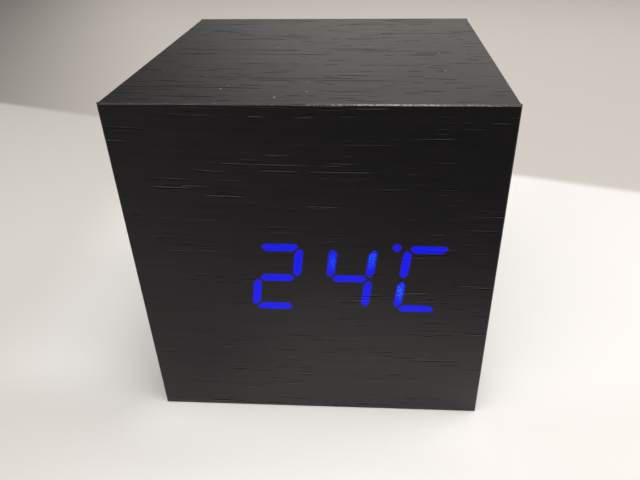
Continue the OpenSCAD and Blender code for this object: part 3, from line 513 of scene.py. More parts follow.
    def worn_edge(self, recipe: Recipe, place: Place) -> Wire:
        """Where the stain is rubbed off along the edge between the front and the top.

        Args:
            recipe: The recipe that gets the nodes.
            place: X, Y and Z in millimetres.

        Returns:
            0 on sound veneer and 1 on bare wood.
        """
        x, y, z = place
        behind, below = y - LOW.y, HIGH.z - z
        distance = (behind * behind + below * below).root()
        share_across = (x - LOW.x) / (HIGH.x - LOW.x)
        wear = recipe.add("ShaderNodeValToRGB", {"stops": self.wear_along_edge}, {0: share_across})
        flakes = recipe.speckle(place, self.flake_size, detail=3.0, roughness=0.7)
        ragged = distance + (flakes - 0.5) * self.wear_ragged
        chipped = (flakes * 1.3 + wear * 0.38).rise(0.86, 1.1) * 0.85
        return ragged.fall(*self.wear_reach) * chipped.most(wear.rise(0.3, 0.9) * 0.24)

    def dust_specks(self, recipe: Recipe, place: Place) -> Wire:
        """A few pale specks of dust on the top, more of them towards the left front corner.

        Args:
            recipe: The recipe that gets the nodes.
            place: X, Y and Z in millimetres.

        Returns:
            1 on a speck and 0 beside it.
        """
        x, y, z = place
        distance, lot = (
            recipe.cells(x / self.dust_pitch, y / self.dust_pitch, output)
            for output in ("Distance", "Color")
        )
        red, green = (
            recipe.add("ShaderNodeSeparateColor", inputs={0: lot}, output=channel)
            for channel in ("Red", "Green")
        )
        chosen = (red + (x + y).fall(*self.dust_corner) * 0.16).rise(0.91, 0.92)
        size = green * 0.02 + 0.02
        on_top = z.rise(*(HIGH.z - depth for depth in self.dust_depth))
        return (distance - size).fall(-0.008, 0.008) * chosen * on_top


@dataclass(frozen=True)
class HotSpot:
    """A lamp that shows through the veneer: its place on the front and its reach, in millimetres."""

    x: float
    z: float
    reach: float
    strength: float


@dataclass(frozen=True)
class GlowingVeneer(Veneer):
    """Veneer in front of a lit stroke of the display."""

    core: Colour = (0.002, 0.004, 0.83)
    fringe: Colour = (0.016, 0.008, 0.5)
    hot: Colour = (0.006, 0.19, 0.96)
    hot_spots: tuple[HotSpot, ...] = (
        HotSpot(x=15.0, z=29.3, reach=3.0, strength=0.9),
        HotSpot(x=10.2, z=35.6, reach=2.6, strength=0.75),
        HotSpot(x=4.0, z=34.9, reach=2.3, strength=0.55),
    )
    fibre_size: Size = (0.45, 1.0, 0.3)
    ATTRIBUTE: ClassVar[str] = "core"

    def fill(self, recipe: Recipe) -> None:
        """Fill the recipe with the veneer and the light that comes through it.

        Args:
            recipe: The material's recipe.
        """
        pattern = self.pattern(recipe)
        place = recipe.place()
        x, _, z = place
        inward = recipe.add("ShaderNodeAttribute", {"attribute_name": self.ATTRIBUTE}, output="Fac")
        core = inward.rise(0.45, 1.0)
        glow = recipe.mix(core, self.fringe, self.core)
        fibres = recipe.speckle(place, self.fibre_size, roughness=0.65)
        spots: Number = 0.0
        for spot in self.hot_spots:
            apart = ((x - spot.x) * (x - spot.x) + (z - spot.z) * (z - spot.z)).root()
            spots = apart.fall(0.0, spot.reach) * spot.strength + spots
        glow = recipe.mix((spots * fibres.rise(0.42, 0.62)).least(1.0) * core, glow, self.hot)
        let_through = (0.4 + inward.rise(0.0, 0.5) * 0.6) * (1.0 - pattern.pores * 0.5)
        recipe.surface(
            Base_Color=recipe.mix(0.6, pattern.colour, BLACK),
            Roughness=pattern.roughness,
            Normal=pattern.normal,
            Specular_IOR_Level=self.bare_gloss,
            Coat_Weight=pattern.lacquer * 0.5,
            Coat_Roughness=self.lacquer_roughness,
            Emission_Color=recipe.mix(let_through, BLACK, glow),
            Emission_Strength=1.0,
        )


@dataclass(frozen=True)
class Fibreboard(Finish):
    """Raw medium-density board: pressed wood dust with darker and paler fibres."""

    pale: Colour = (0.47, 0.33, 0.2)
    dark: Colour = (0.24, 0.15, 0.085)
    paint: Colour = (0.012, 0.0115, 0.0115)
    painted_from_y: float = 27.9
    paint_ragged: float = 0.3
    paint_fade: Span = (0.1, 0.25)
    fibre_size: float = 0.35
    cloud_size: float = 6.0
    relief: float = 0.06

    def fill(self, recipe: Recipe) -> None:
        """Fill the recipe with pressed fibres, and with black paint round the rear opening.

        Args:
            recipe: The material's recipe.
        """
        place = recipe.place()
        specks = recipe.speckle(place, self.fibre_size, detail=3.0, roughness=0.7, bend=0.6)
        clouds = recipe.speckle(place, self.cloud_size)
        colour = recipe.mix((specks * 0.8 + clouds * 0.35 - 0.1).rise(0.25, 0.75), self.dark, self.pale)
        past_start = place[1] - self.painted_from_y + specks * self.paint_ragged
        painted = past_start.rise(*self.paint_fade)
        recipe.surface(
            Base_Color=recipe.mix(painted, colour, self.paint),
            Roughness=0.8 + specks * 0.15 - painted * 0.25,
            Normal=recipe.bump(specks, self.relief),
        )


@dataclass(frozen=True)
class Moulded(Finish):
    """Moulded plastic with a spark-eroded texture and faint scuffs."""

    colour: Colour = (0.018, 0.018, 0.02)
    scuff: Colour = (0.09, 0.09, 0.09)
    gloss: float = 0.5
    texture: float = 0.16
    relief: float = 0.02
    scuffed: float = 0.0
    scuff_size: Size = (0.25, 0.25, 5.0)
    scuff_slant: float = 0.4
    cloud_size: float = 9.0

    def fill(self, recipe: Recipe) -> None:
        """Fill the recipe with a fine texture and a slow change of gloss.

        Args:
            recipe: The material's recipe.
        """
        place = recipe.place()
        x, y, z = place
        grit = recipe.speckle(place, self.texture, roughness=0.6)
        clouds = recipe.speckle(place, self.cloud_size, detail=3.0)
        tone = (grit * 0.5 + clouds * 0.5).rise(0.3, 0.75)
        colour = recipe.mix(tone, self.colour, paler(self.colour, 1.35, 0.004))
        roughness = 1.0 - self.gloss + (clouds - 0.5) * 0.16 + (grit - 0.5) * 0.14
        if self.scuffed:
            slanted = (x + z * self.scuff_slant, y, z - x * self.scuff_slant)
            scuffs = recipe.speckle(slanted, self.scuff_size).rise(0.64, 0.74)
            scuffs = scuffs * clouds.rise(0.46, 0.62) * self.scuffed
            colour = recipe.mix(scuffs, colour, self.scuff)
            roughness = roughness + scuffs * 0.3
        recipe.surface(Base_Color=colour, Roughness=roughness, Normal=recipe.bump(grit, self.relief))


class Brush(Enum):
    """How a metal's surface was worked, as the size of its marks along X, Y and Z."""

    ROLLED = (6.0, 0.12, 0.12)
    TUMBLED = (0.4, 0.4, 0.4)


@dataclass(frozen=True)
class Metal(Finish):
    """Plated or bare sheet metal with fine marks and a few dull patches."""

    colour: Colour = (0.62, 0.61, 0.58)
    dull: Colour = (0.42, 0.41, 0.39)
    roughness: float = 0.28
    brush: Brush = Brush.TUMBLED
    patch_size: float = 2.2
    relief: float = 0.008

    def fill(self, recipe: Recipe) -> None:
        """Fill the recipe with marks and patches.

        Args:
            recipe: The material's recipe.
        """
        place = recipe.place()
        marks = recipe.speckle(place, self.brush.value, detail=3.0, roughness=0.65)
        patches = recipe.speckle(place, self.patch_size, detail=3.0)
        recipe.surface(
            Base_Color=recipe.mix(patches.rise(0.45, 0.75) * 0.7, self.colour, self.dull),
            Metallic=1.0,
            Roughness=self.roughness + (marks - 0.5) * 0.25 + patches.rise(0.5, 0.8) * 0.15,
            Normal=recipe.bump(marks, self.relief),
        )


@dataclass(frozen=True)
class CircuitBoard(Finish):
    """Green solder mask over copper tracks, with bare tinned pads."""

    mask: Colour = (0.006, 0.085, 0.035)
    track: Colour = (0.014, 0.15, 0.06)
    pad: Colour = (0.62, 0.58, 0.5)
    track_pitch: float = 1.27
    track_edge: Span = (0.12, 0.16)
    pad_pitch: float = 2.54
    pad_edge: Span = (0.17, 0.19)
    relief: float = 0.03

    def fill(self, recipe: Recipe) -> None:
        """Fill the recipe with tracks in both directions and dots of solder.

        Args:
            recipe: The material's recipe.
        """
        x, _, z = recipe.place()
        half_pitch = self.track_pitch / 2

        def areas(size: float, layer: float) -> Wire:
            """Plain noise over the board, with features of this size in millimetres."""
            return recipe.speckle((x, layer, z), (size, 1.0, size), detail=0.0)

        warp = areas(7.0, 0.0)
        lanes = recipe.math("PINGPONG", x + warp.rise(0.48, 0.52) * half_pitch, half_pitch)
        rows = recipe.math("PINGPONG", z + warp.rise(0.5, 0.54) * half_pitch, half_pitch)
        lines = (rows + areas(5.0, 1.0).rise(0.49, 0.51) * (lanes - rows)).fall(*self.track_edge)
        grid = recipe.cells(x / self.pad_pitch, z / self.pad_pitch, "Distance", randomness=0.0)
        pads = grid.fall(*self.pad_edge) * areas(4.0, 2.0).rise(0.53, 0.55)
        recipe.surface(
            Base_Color=recipe.mix(pads, recipe.mix(lines, self.mask, self.track), self.pad),
            Metallic=pads * 0.9,
            Roughness=0.32 + pads * 0.1,
            Normal=recipe.bump(lines * 0.5 + pads * 0.5, self.relief),
        )


class ButtonEnd(Enum):
    """Which end of a cell has its button, as the sign of X."""

    LEFT = -1.0
    RIGHT = 1.0


@dataclass(frozen=True)
class CellSleeve(Finish):
    """Printed plastic sleeve of a cell: a plain body colour with a paler band at the button end."""

    button_end: ButtonEnd = ButtonEnd.RIGHT
    body: Colour = (0.012, 0.06, 0.045)
    band: Colour = (0.5, 0.49, 0.46)
    line: Colour = (0.6, 0.42, 0.1)
    band_at: float = 10.0
    line_w: float = 0.7
    print_blur: float = 0.05
    scuff_size: Size = (3.0, 0.5, 0.5)
    relief: float = 0.012

    def fill(self, recipe: Recipe) -> None:
        """Fill the recipe with the band, a thin line beside it and the sheen of film.

        Args:
            recipe: The material's recipe.
        """
        place = recipe.place()
        outward = place[0] * self.button_end.value
        band = outward.rise(self.band_at, self.band_at + self.print_blur)
        line = (outward - self.band_at + self.line_w).rise(0.0, self.print_blur) - band
        scuffs = recipe.speckle(place, self.scuff_size, detail=3.0, roughness=0.65)
        colour = recipe.mix(band, self.body, self.band)
        colour = recipe.mix(line.most(0.0), colour, self.line)
        recipe.surface(
            Base_Color=recipe.mix(scuffs.rise(0.62, 0.8) * 0.25, colour, self.band),
            Roughness=0.24 + scuffs * 0.14,
            Metallic=band * 0.5,
            Normal=recipe.bump(scuffs, self.relief),
        )


@dataclass(frozen=True)
class Insulation(Finish):
    """Soft plastic insulation of a wire, or of a ribbon that is marked up to edge_x."""

    colour: Colour = (0.014, 0.014, 0.015)
    marked: Colour = (0.42, 0.03, 0.02)
    edge_x: float | None = None
    skin_size: float = 0.6
    relief: float = 0.01

    def fill(self, recipe: Recipe) -> None:
        """Fill the recipe with a satin skin, and with one coloured edge on a ribbon.

        Args:
            recipe: The material's recipe.
        """
        place = recipe.place()
        skin = recipe.speckle(place, self.skin_size, detail=3.0)
        colour = recipe.mix(skin.rise(0.35, 0.75), self.colour, paler(self.colour, 1.5, 0.01))
        if self.edge_x is not None:
            colour = recipe.mix((place[0] - self.edge_x).fall(0.0, 0.05), colour, self.marked)
        normal = recipe.bump(skin, self.relief)
        recipe.surface(Base_Color=colour, Roughness=0.42 + skin * 0.16, Normal=normal)


@dataclass(frozen=True)
class Lamp(Finish):
    """Small lamp: a pale body with a warm phosphor window."""

    body: Colour = (0.78, 0.76, 0.68)
    phosphor: Colour = (0.82, 0.62, 0.16)
    grain_size: float = 0.25
    relief: float = 0.01

    def fill(self, recipe: Recipe) -> None:
        """Fill the recipe with the body and a mottled window.

        Args:
            recipe: The material's recipe.
        """
        grains = recipe.speckle(recipe.place(), self.grain_size)
        colour = recipe.mix(grains.rise(0.42, 0.58), self.body, self.phosphor)
        normal = recipe.bump(grains, self.relief)
        recipe.surface(Base_Color=colour, Roughness=0.25 + grains * 0.2, Normal=normal)


def box_of(node: str) -> tuple[Vector, Vector]:
    """Lowest and highest corner of a CAD node in millimetres."""
    return tuple(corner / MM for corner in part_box(node))


def middle_of(node: str) -> Vector:
    """Middle of a CAD node's box in millimetres."""
    return sum(box_of(node), Vector()) / 2


def new_object(bm: bmesh.types.BMesh, name: str, finish: Finish) -> bpy.types.Object:
    """Turn a bmesh into an object of the scene. The bmesh is freed.

    Args:
        bm: The shape, in metres and in its place.
        name: The object's name.
        finish: Its finish.

    Returns:
        The new object.
    """
    mesh = bpy.data.meshes.new(name)
    bm.to_mesh(mesh)
    bm.free()
    mesh.materials.append(finish.material())
    made = bpy.data.objects.new(name, mesh)
    bpy.context.scene.collection.objects.link(made)
    return made


def finish_piece(
    bm: bmesh.types.BMesh, name: str, finish: Finish, body: str = CASE
) -> bpy.types.Object:
    """Turn a bmesh into a piece of the clock, with crisp edges where it turns sharply.

    Args:
        bm: The finished shape, in metres and in its place.
        name: The piece's name.
        finish: Its finish.
        body: The body that it rides on.

    Returns:
        The new object.
    """
    bmesh.ops.recalc_face_normals(bm, faces=bm.faces)
    piece = new_object(bm, name, finish)
    piece.data.shade_smooth()
    piece.data.set_sharp_from_angle(angle=CREASE)
    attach(piece, body)
    LOG.info("built %s: %d faces", name, len(piece.data.polygons))
    return piece


def dress(finish: Finish, *nodes: str) -> None:
    """Give CAD nodes a finish.

    Args:
        finish: The finish.
        nodes: Names of the nodes.
    """
    for name in nodes:
        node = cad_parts[name]
        if not node.material_slots:
            node.data.materials.append(None)
        for slot in node.material_slots:
            slot.material = finish.material()
        LOG.info("dressed %s: %s", name, finish.name)


def merged_copy(node: str) -> bmesh.types.BMesh:
    """A CAD node's shape with its loose triangles joined and its flat faces whole.

    Args:
        node: Name of the node.

    Returns:
        The shape, to be changed and finished.
    """
    bm = bmesh.new()
    bm.from_mesh(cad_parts[node].data)
    bmesh.ops.remove_doubles(bm, verts=bm.verts, dist=0.002 * MM)
    bmesh.ops.dissolve_limit(bm, angle_limit=math.radians(0.5), verts=bm.verts, edges=bm.edges)
    return bm


def turned(profile: Sequence[Span]) -> bmesh.types.BMesh:
    """A shape of revolution about the X axis.

    Args:
        profile: Points as place along X and radius, in millimetres.

    Returns:
        The shape, in metres.
    """
    bm = bmesh.new()
    points = [bm.verts.new((along * MM, 0.0, radius * MM)) for along, radius in profile]
    edges = [bm.edges.new(pair) for pair in zip(points, points[1:])]
    bmesh.ops.spin(
        bm, geom=points + edges, cent=(0, 0, 0), axis=(1, 0, 0), dvec=(0, 0, 0),
        angle=math.tau, steps=TURN_STEPS, use_merge=True, use_duplicate=False,
    )
    bmesh.ops.remove_doubles(bm, verts=bm.verts, dist=0.001 * MM)
    return bm


def round_edges(bm: bmesh.types.BMesh, edges: Sequence[bmesh.types.BMEdge], width: float) -> None:
    """Round edges of a shape in two steps.

    Args:
        bm: The shape, in metres.
        edges: The edges.
        width: Width of the rounding in millimetres.
    """
    bmesh.ops.bevel(
        bm, geom=edges, offset=width * MM, offset_type="OFFSET", affect="EDGES",
        segments=2, profile=0.5, material=-1, clamp_overlap=True,
    )


def seated(bm: bmesh.types.BMesh, seat: Vector, turn: Matrix) -> bmesh.types.BMesh:
    """Turn a shape about the origin, then move it to its seat, which is in millimetres."""
    bmesh.ops.transform(bm, matrix=Matrix.Translation(seat * MM) @ turn, verts=bm.verts)
    return bm


def joined(parts: Iterable[bmesh.types.BMesh]) -> bmesh.types.BMesh:
    """Put several shapes into one bmesh. The shapes are freed.

    Args:
        parts: The shapes.

    Returns:
        The bmesh that holds them all.
    """
    whole = bmesh.new()
    for part in parts:
        passed = bpy.data.meshes.new("passed")
        part.to_mesh(passed)
        part.free()
        whole.from_mesh(passed)
        bpy.data.meshes.remove(passed)
    return whole


class Assembly(ABC):
    """A group of the clock's pieces that are built and dressed together."""

    @abstractmethod
    def make(self) -> None:
        """Build and dress the pieces."""


@dataclass
class WoodenCase(Assembly):
    """The veneered box with its boards and glue blocks."""

    long_grain: Veneer = Veneer("veneer_along_x")
    top_grain: Veneer = Veneer(
        "veneer_coarse", coarseness=2.0, crowding=0.15, lip_share=0.3,
        dash_reach=1.7, pore_share=0.72, streak_gloss=0.6,
    )
    side_grain: Veneer = Veneer("veneer_along_y", grain=Grain.ALONG_Y)
    board: Fibreboard = Fibreboard("raw_fibreboard")
    glue_block: Fibreboard = Fibreboard("raw_glue_block", pale=(0.52, 0.39, 0.25), dark=(0.33, 0.22, 0.13))

    def make(self) -> None:
        """Dress the veneers and the boards."""
        dress(self.long_grain, "front_veneer", "bottom_veneer", "rear_veneer", "unlit_segments")
        dress(self.top_grain, "top_veneer")
        dress(self.side_grain, "left_veneer", "right_veneer")
        dress(self.board, "front_board", "top_board", "bottom_board", "left_board", "right_board")
        dress(self.glue_block, "corner_blocks")


@dataclass
class GlowingDisplay(Assembly):
    """The lit strokes, as they show through the veneer, and what lies behind them."""

    glow: GlowingVeneer = GlowingVeneer("veneer_lit")
    film: Moulded = Moulded("film_milky", colour=(0.72, 0.76, 0.82), gloss=0.35, relief=0.004)
    box: Moulded = Moulded("box_white", colour=(0.78, 0.78, 0.75), gloss=0.45, relief=0.01)
    lamp: Lamp = Lamp("segment_lamp")
    soft_rim: float = 0.34

    def make(self) -> None:
        """Build the lit strokes and dress the light box, its film and its lamps."""
        self.lit_strokes()
        dress(self.film, "diffuser_film")
        dress(self.box, "light_box")
        dress(self.lamp, "segment_lamps")

    def lit_strokes(self) -> bpy.types.Object:
        """The lit strokes with a rim on each, over which the light fades.

        Returns:
            The piece.
        """
        bm = merged_copy("lit_segments")
        bm.normal_update()
        core = bm.verts.layers.float.new(GlowingVeneer.ATTRIBUTE)
        fronts = [face for face in bm.faces if face.normal.y < -0.9]
        bmesh.ops.inset_individual(bm, faces=fronts, thickness=self.soft_rim * MM, use_even_offset=True)
        for face in fronts:
            for vert in face.verts:
                vert[core] = 1.0
        piece = finish_piece(bm, "lit_strokes", self.glow)
        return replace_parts(piece, "lit_segments")


@dataclass
class DisplayElectronics(Assembly):
    """The two circuit boards with their small parts and the ribbon cable between them."""

    green: CircuitBoard = CircuitBoard("solder_mask")
    black: Moulded = Moulded("component_moulded", colour=(0.012, 0.012, 0.014), gloss=0.55, relief=0.006)
    socket: Moulded = Moulded("socket_cream", colour=(0.74, 0.72, 0.62), gloss=0.5, relief=0.006)
    resin: Moulded = Moulded("resin_amber", colour=(0.34, 0.13, 0.02), gloss=0.7, relief=0.01)
    sleeve: Moulded = Moulded("sleeve_blue", colour=(0.016, 0.036, 0.16), gloss=0.68, relief=0.006)
    tin: Metal = Metal("can_tin", colour=(0.66, 0.67, 0.68), brush=Brush.ROLLED)
    zinc: Metal = Metal("zinc_plated", colour=(0.6, 0.61, 0.62), roughness=0.3)
    steel: Metal = Metal("steel_polished", colour=(0.58, 0.59, 0.6), brush=Brush.ROLLED)
    clip: Metal = Metal("spring_nickel", colour=(0.63, 0.62, 0.58), roughness=0.24)
    ribbon: Insulation = Insulation("ribbon_grey", colour=(0.25, 0.26, 0.29), edge_x=8.0)

    def make(self) -> None:
        """Dress the boards and their parts."""
        dress(self.green, "display_board", "button_board")
        dress(self.zinc, "display_screws", "button_board_screws")
        dress(self.black, "clock_chip", "coin_cell_holder", "alarm_buzzer", "switch_housings")
        dress(self.tin, "timing_crystal", "microphone")
        dress(self.steel, "coin_cell")
        dress(self.clip, "coin_cell_clip")
        dress(self.resin, "temperature_sensor")
        dress(self.sleeve, "capacitor")
        dress(self.socket, "display_socket", "button_socket")
        dress(self.ribbon, "ribbon_cable")


@dataclass
class RearCover(Assembly):
    """The moulded cover, its screws and the battery door."""

    plastic: Moulded = Moulded(
        "cover_moulded", colour=(0.0145, 0.0145, 0.0155), texture=0.26, relief=0.04, scuffed=0.4
    )
    door: Moulded = Moulded(
        "door_moulded", colour=(0.016, 0.016, 0.017), gloss=0.53, texture=0.3, relief=0.04, scuffed=0.5
    )
    screw: Metal = Metal(
        "screw_blackened", colour=(0.055, 0.055, 0.06), dull=(0.03, 0.03, 0.032), roughness=0.36
    )

    def make(self) -> None:
        """Dress the cover, the door and the screws."""
        dress(self.plastic, "rear_cover")
        dress(self.door, "battery_door", "door_latch")
        dress(self.screw, "cover_screws")


@dataclass
class Cell:
    """A cell: a steel can with its button, in a printed sleeve that curls over both ends."""

    node: str
    button_end: ButtonEnd
    steel: Metal = Metal("cell_steel", colour=(0.66, 0.66, 0.65), roughness=0.2)
    button_r: float = 1.9
    button_h: float = 0.8
    sleeve_t: float = 0.12
    lip: float = 0.75

    def make(self) -> None:
        """Build the can and the sleeve in the place of the CAD cell."""
        low, high = box_of(self.node)
        length, radius = high.x - low.x, (high.z - low.z) / 2
        to_right = self.button_end is ButtonEnd.RIGHT
        seat = Vector((low.x if to_right else high.x, *middle_of(self.node).yz))
        turn = Matrix.Rotation(0.0 if to_right else math.pi, 4, "Z")
        name = self.node.replace("battery_cell_", "")
        can = seated(turned(self.can_profile(length, radius)), seat, turn)
        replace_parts(finish_piece(can, f"cell_can_{name}", self.steel), self.node)
        sleeve = seated(turned(self.sleeve_profile(length, radius)), seat, turn)
        printed = CellSleeve(f"cell_sleeve_{self.button_end.name.lower()}", button_end=self.button_end)
        finish_piece(sleeve, f"cell_sleeve_{name}", printed)

    def can_profile(self, length: float, radius: float) -> list[Span]:
        """Outline of the can from the middle of its flat end to the middle of its button.

        Args:
            length: Length of the cell in millimetres.
            radius: Radius of the cell in millimetres.

        Returns:
            Points as place along X and radius.
        """
        can_r = radius - self.sleeve_t
        ring_r = can_r - self.lip
        shoulder = length - self.button_h
        flat_end = [(0.0, 0.0), (0.0, ring_r - 1.1), (0.16, ring_r - 0.8), (0.16, ring_r - 0.1)]
        lower_roll = [(0.1, ring_r + 0.25), (0.3, can_r - 0.12), (0.62, can_r)]
        upper_roll = [
            (shoulder - 0.6, can_r), (shoulder - 0.28, can_r - 0.12), (shoulder - 0.12, ring_r + 0.25),
        ]
        groove = [(shoulder - 0.2, ring_r - 0.1), (shoulder - 0.2, self.button_r + 0.5)]
        button = [
            (shoulder - 0.12, self.button_r + 0.18), (shoulder, self.button_r),
            (length - 0.18, self.button_r), (length - 0.05, self.button_r - 0.06),
            (length, self.button_r - 0.22), (length, 0.0),
        ]
        return flat_end + lower_roll + upper_roll + groove + button

    def sleeve_profile(self, length: float, radius: float) -> list[Span]:
        """Closed outline of the sleeve's wall, with the lip at either end.

        Args:
            length: Length of the cell in millimetres.
            radius: Radius of the cell in millimetres.

        Returns:
            Points as place along X and radius.
        """
        can_r = radius - self.sleeve_t
        ring_r = can_r - self.lip
        shoulder = length - self.button_h
        lower_lip = [
            (0.14, ring_r), (0.02, ring_r + 0.12),
            (0.04, radius - 0.42), (0.2, radius - 0.14), (0.5, radius),
        ]
        upper_lip = [
            (shoulder - 0.5, radius), (shoulder - 0.18, radius - 0.14), (shoulder - 0.02, radius - 0.42),
            (shoulder, ring_r + 0.12), (shoulder - 0.12, ring_r),
        ]
        inside = [
            (shoulder - 0.2, ring_r + 0.1), (shoulder - 0.22, radius - 0.4), (shoulder - 0.5, can_r + 0.01),
            (0.5, can_r + 0.01), (0.24, radius - 0.4), (0.2, ring_r + 0.1),
        ]
        return lower_lip + upper_lip + inside + lower_lip[:1]


@dataclass
class Contact:
    """A contact in an end wall of the bay: its plate, a bump, a spring and a tag, as the place needs.

    The cells that its bump, spring and tag belong to are given by the names of their nodes.
    """

    node: str
    bump_cell: str | None = None
    spring_cell: str | None = None
    tag_cell: str | None = None
    finish: Metal = Metal("contact_nickel", colour=(0.64, 0.63, 0.58), roughness=0.26)
    plate_t: float = 0.4
    plate_low_y: float = 17.9
    plate_round: float = 0.12
    tag_w: float = 2.0
    tag_round: float = 0.1
    bump_r: float = 1.6
    bump_h: float = 0.4
    spring_len: float = 3.6
    wire_r: float = 0.25
    turns: float = 2.5
    turn_steps: int = 28
    spring_sunk: float = 0.1

    # Radius of the spring at its foot and at its tip, as shares of the cell's radius
    foot_share: float = 0.62
    tip_share: float = 0.36

    def __post_init__(self) -> None:
        """Take the contact's place from its CAD node."""
        self.low, self.high = box_of(self.node)
        self.side = 1.0 if self.high.x > 0.0 else -1.0
        self.wall_x = self.side * (max(self.high.x, -self.low.x) - self.plate_t)

    def make(self) -> None:
        """Build the contact in the place of the CAD contact."""
        shapes = [self.plate()]
        for cell, shape in (
            (self.tag_cell, self.tag), (self.bump_cell, self.bump), (self.spring_cell, self.spring),
        ):
            if cell is not None:
                shapes.append(shape(cell))
        piece = finish_piece(joined(shapes), f"{self.node}_formed", self.finish)
        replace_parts(piece, self.node)

    def sheet(self, y: Span, z: Span, rounding: float) -> bmesh.types.BMesh:
        """A rectangle of the contact's sheet against the wall, with rolled edges.

        Args:
            y: Where it begins and ends along Y, in millimetres.
            z: Where it begins and ends along Z, in millimetres.
            rounding: Width of its rolled edges in millimetres.

        Returns:
            The shape, in metres.
        """
        size = Vector((self.plate_t, y[1] - y[0], z[1] - z[0])) * MM
        centre = Vector((self.wall_x + self.side * self.plate_t / 2, sum(y) / 2, sum(z) / 2))
        bm = bmesh.new()
        bmesh.ops.create_cube(bm, size=1.0, matrix=Matrix.Diagonal((*size, 1.0)))
        round_edges(bm, bm.edges[:], rounding)
        return seated(bm, centre, Matrix.Identity(4))

    def plate(self) -> bmesh.types.BMesh:
        """The plate in its pocket of the wall."""
        return self.sheet((self.plate_low_y, self.high.y), (self.low.z, self.high.z), self.plate_round)

    def tag(self, cell: str) -> bmesh.types.BMesh:
        """The tag that a lead is soldered to, in line with a cell's middle.

        Args:
            cell: Node of the cell.

        Returns:
            The shape, in metres.
        """
        middle_z = middle_of(cell).z
        z = (middle_z - self.tag_w / 2, middle_z + self.tag_w / 2)
        return self.sheet((self.low.y, self.plate_low_y + self.plate_t), z, self.tag_round)

    def bump(self, cell: str) -> bmesh.types.BMesh:
        """The pressed dome that meets a cell's button.

        Args:
            cell: Node of the cell.

        Returns:
            The shape, in metres.
        """
        foot = [(-0.02, 0.0), (-0.02, self.bump_r + 0.25), (0.04, self.bump_r)]
        shares = ((0.6, 0.72), (0.92, 0.4), (1.0, 0.0))
        dome = [(self.bump_h * height, self.bump_r * width) for height, width in shares]
        return self._against_wall(turned(foot + dome), cell)

    def spring(self, cell: str) -> bmesh.types.BMesh:
        """One unbroken conical helix of wire from the plate to a cell's flat end.

        Args:
            cell: Node of the cell.

        Returns:
            The shape, in metres.
        """
        low, high = box_of(cell)
        cell_r = (high.z - low.z) / 2
        curve = bpy.data.curves.new("wire", "CURVE")
        curve.dimensions = "3D"
        curve.bevel_depth = self.wire_r * MM
        curve.bevel_resolution = 3
        curve.use_fill_caps = True
        last = int(self.turn_steps * self.turns)
        spline = curve.splines.new("POLY")
        spline.points.add(last)
        for index, point in enumerate(spline.points):
            share = index / last
            angle = math.tau * self.turns * share
            radius = cell_r * (self.foot_share + (self.tip_share - self.foot_share) * share)
            rise = self.spring_len - 2 * self.wire_r + self.spring_sunk
            along = self.wire_r - self.spring_sunk + rise * share
            point.co = (along * MM, radius * math.cos(angle) * MM, radius * math.sin(angle) * MM, 1.0)
        wire = bpy.data.objects.new("wire", curve)
        mesh = bpy.data.meshes.new_from_object(wire)
        bm = bmesh.new()
        bm.from_mesh(mesh)
        bpy.data.objects.remove(wire)
        bpy.data.curves.remove(curve)
        bpy.data.meshes.remove(mesh)
        bmesh.ops.remove_doubles(bm, verts=bm.verts, dist=0.001 * MM)
        return self._against_wall(bm, cell)

    def _against_wall(self, bm: bmesh.types.BMesh, cell: str) -> bmesh.types.BMesh:
        """Turn a shape that stands along +X to face into the bay, in line with a cell's middle."""
        seat = Vector((self.wall_x, *middle_of(cell).yz))
        return seated(bm, seat, Matrix.Rotation(math.pi if self.side > 0 else 0.0, 4, "Z"))


@dataclass
class BatteryBay(Assembly):
    """The cells, their contacts and the two leads."""

    cells: tuple[Cell, ...] = (
        Cell("battery_cell_top", ButtonEnd.RIGHT),
        Cell("battery_cell_middle", ButtonEnd.LEFT),
        Cell("battery_cell_bottom", ButtonEnd.RIGHT),
    )
    contacts: tuple[Contact, ...] = (
        Contact("negative_contact", spring_cell="battery_cell_top", tag_cell="battery_cell_top"),
        Contact("positive_contact", bump_cell="battery_cell_bottom", tag_cell="battery_cell_bottom"),
        Contact("left_link_contact", bump_cell="battery_cell_middle", spring_cell="battery_cell_bottom"),
        Contact("right_link_contact", bump_cell="battery_cell_top", spring_cell="battery_cell_middle"),
    )
    red: Insulation = Insulation("lead_red", colour=(0.42, 0.016, 0.012))
    black: Insulation = Insulation("lead_black", colour=(0.013, 0.013, 0.014))

    def make(self) -> None:
        """Build the cells and contacts and dress the leads."""
        for piece in (*self.cells, *self.contacts):
            piece.make()
        dress(self.red, "red_lead")
        dress(self.black, "black_lead")


@dataclass(frozen=True)
class ButtonMark:
    """A plain raised sign on a button: a dot or a triangle, with its size in millimetres and its turn."""

    button: str
    corners: int
    radius: float
    turn: float = 0.0


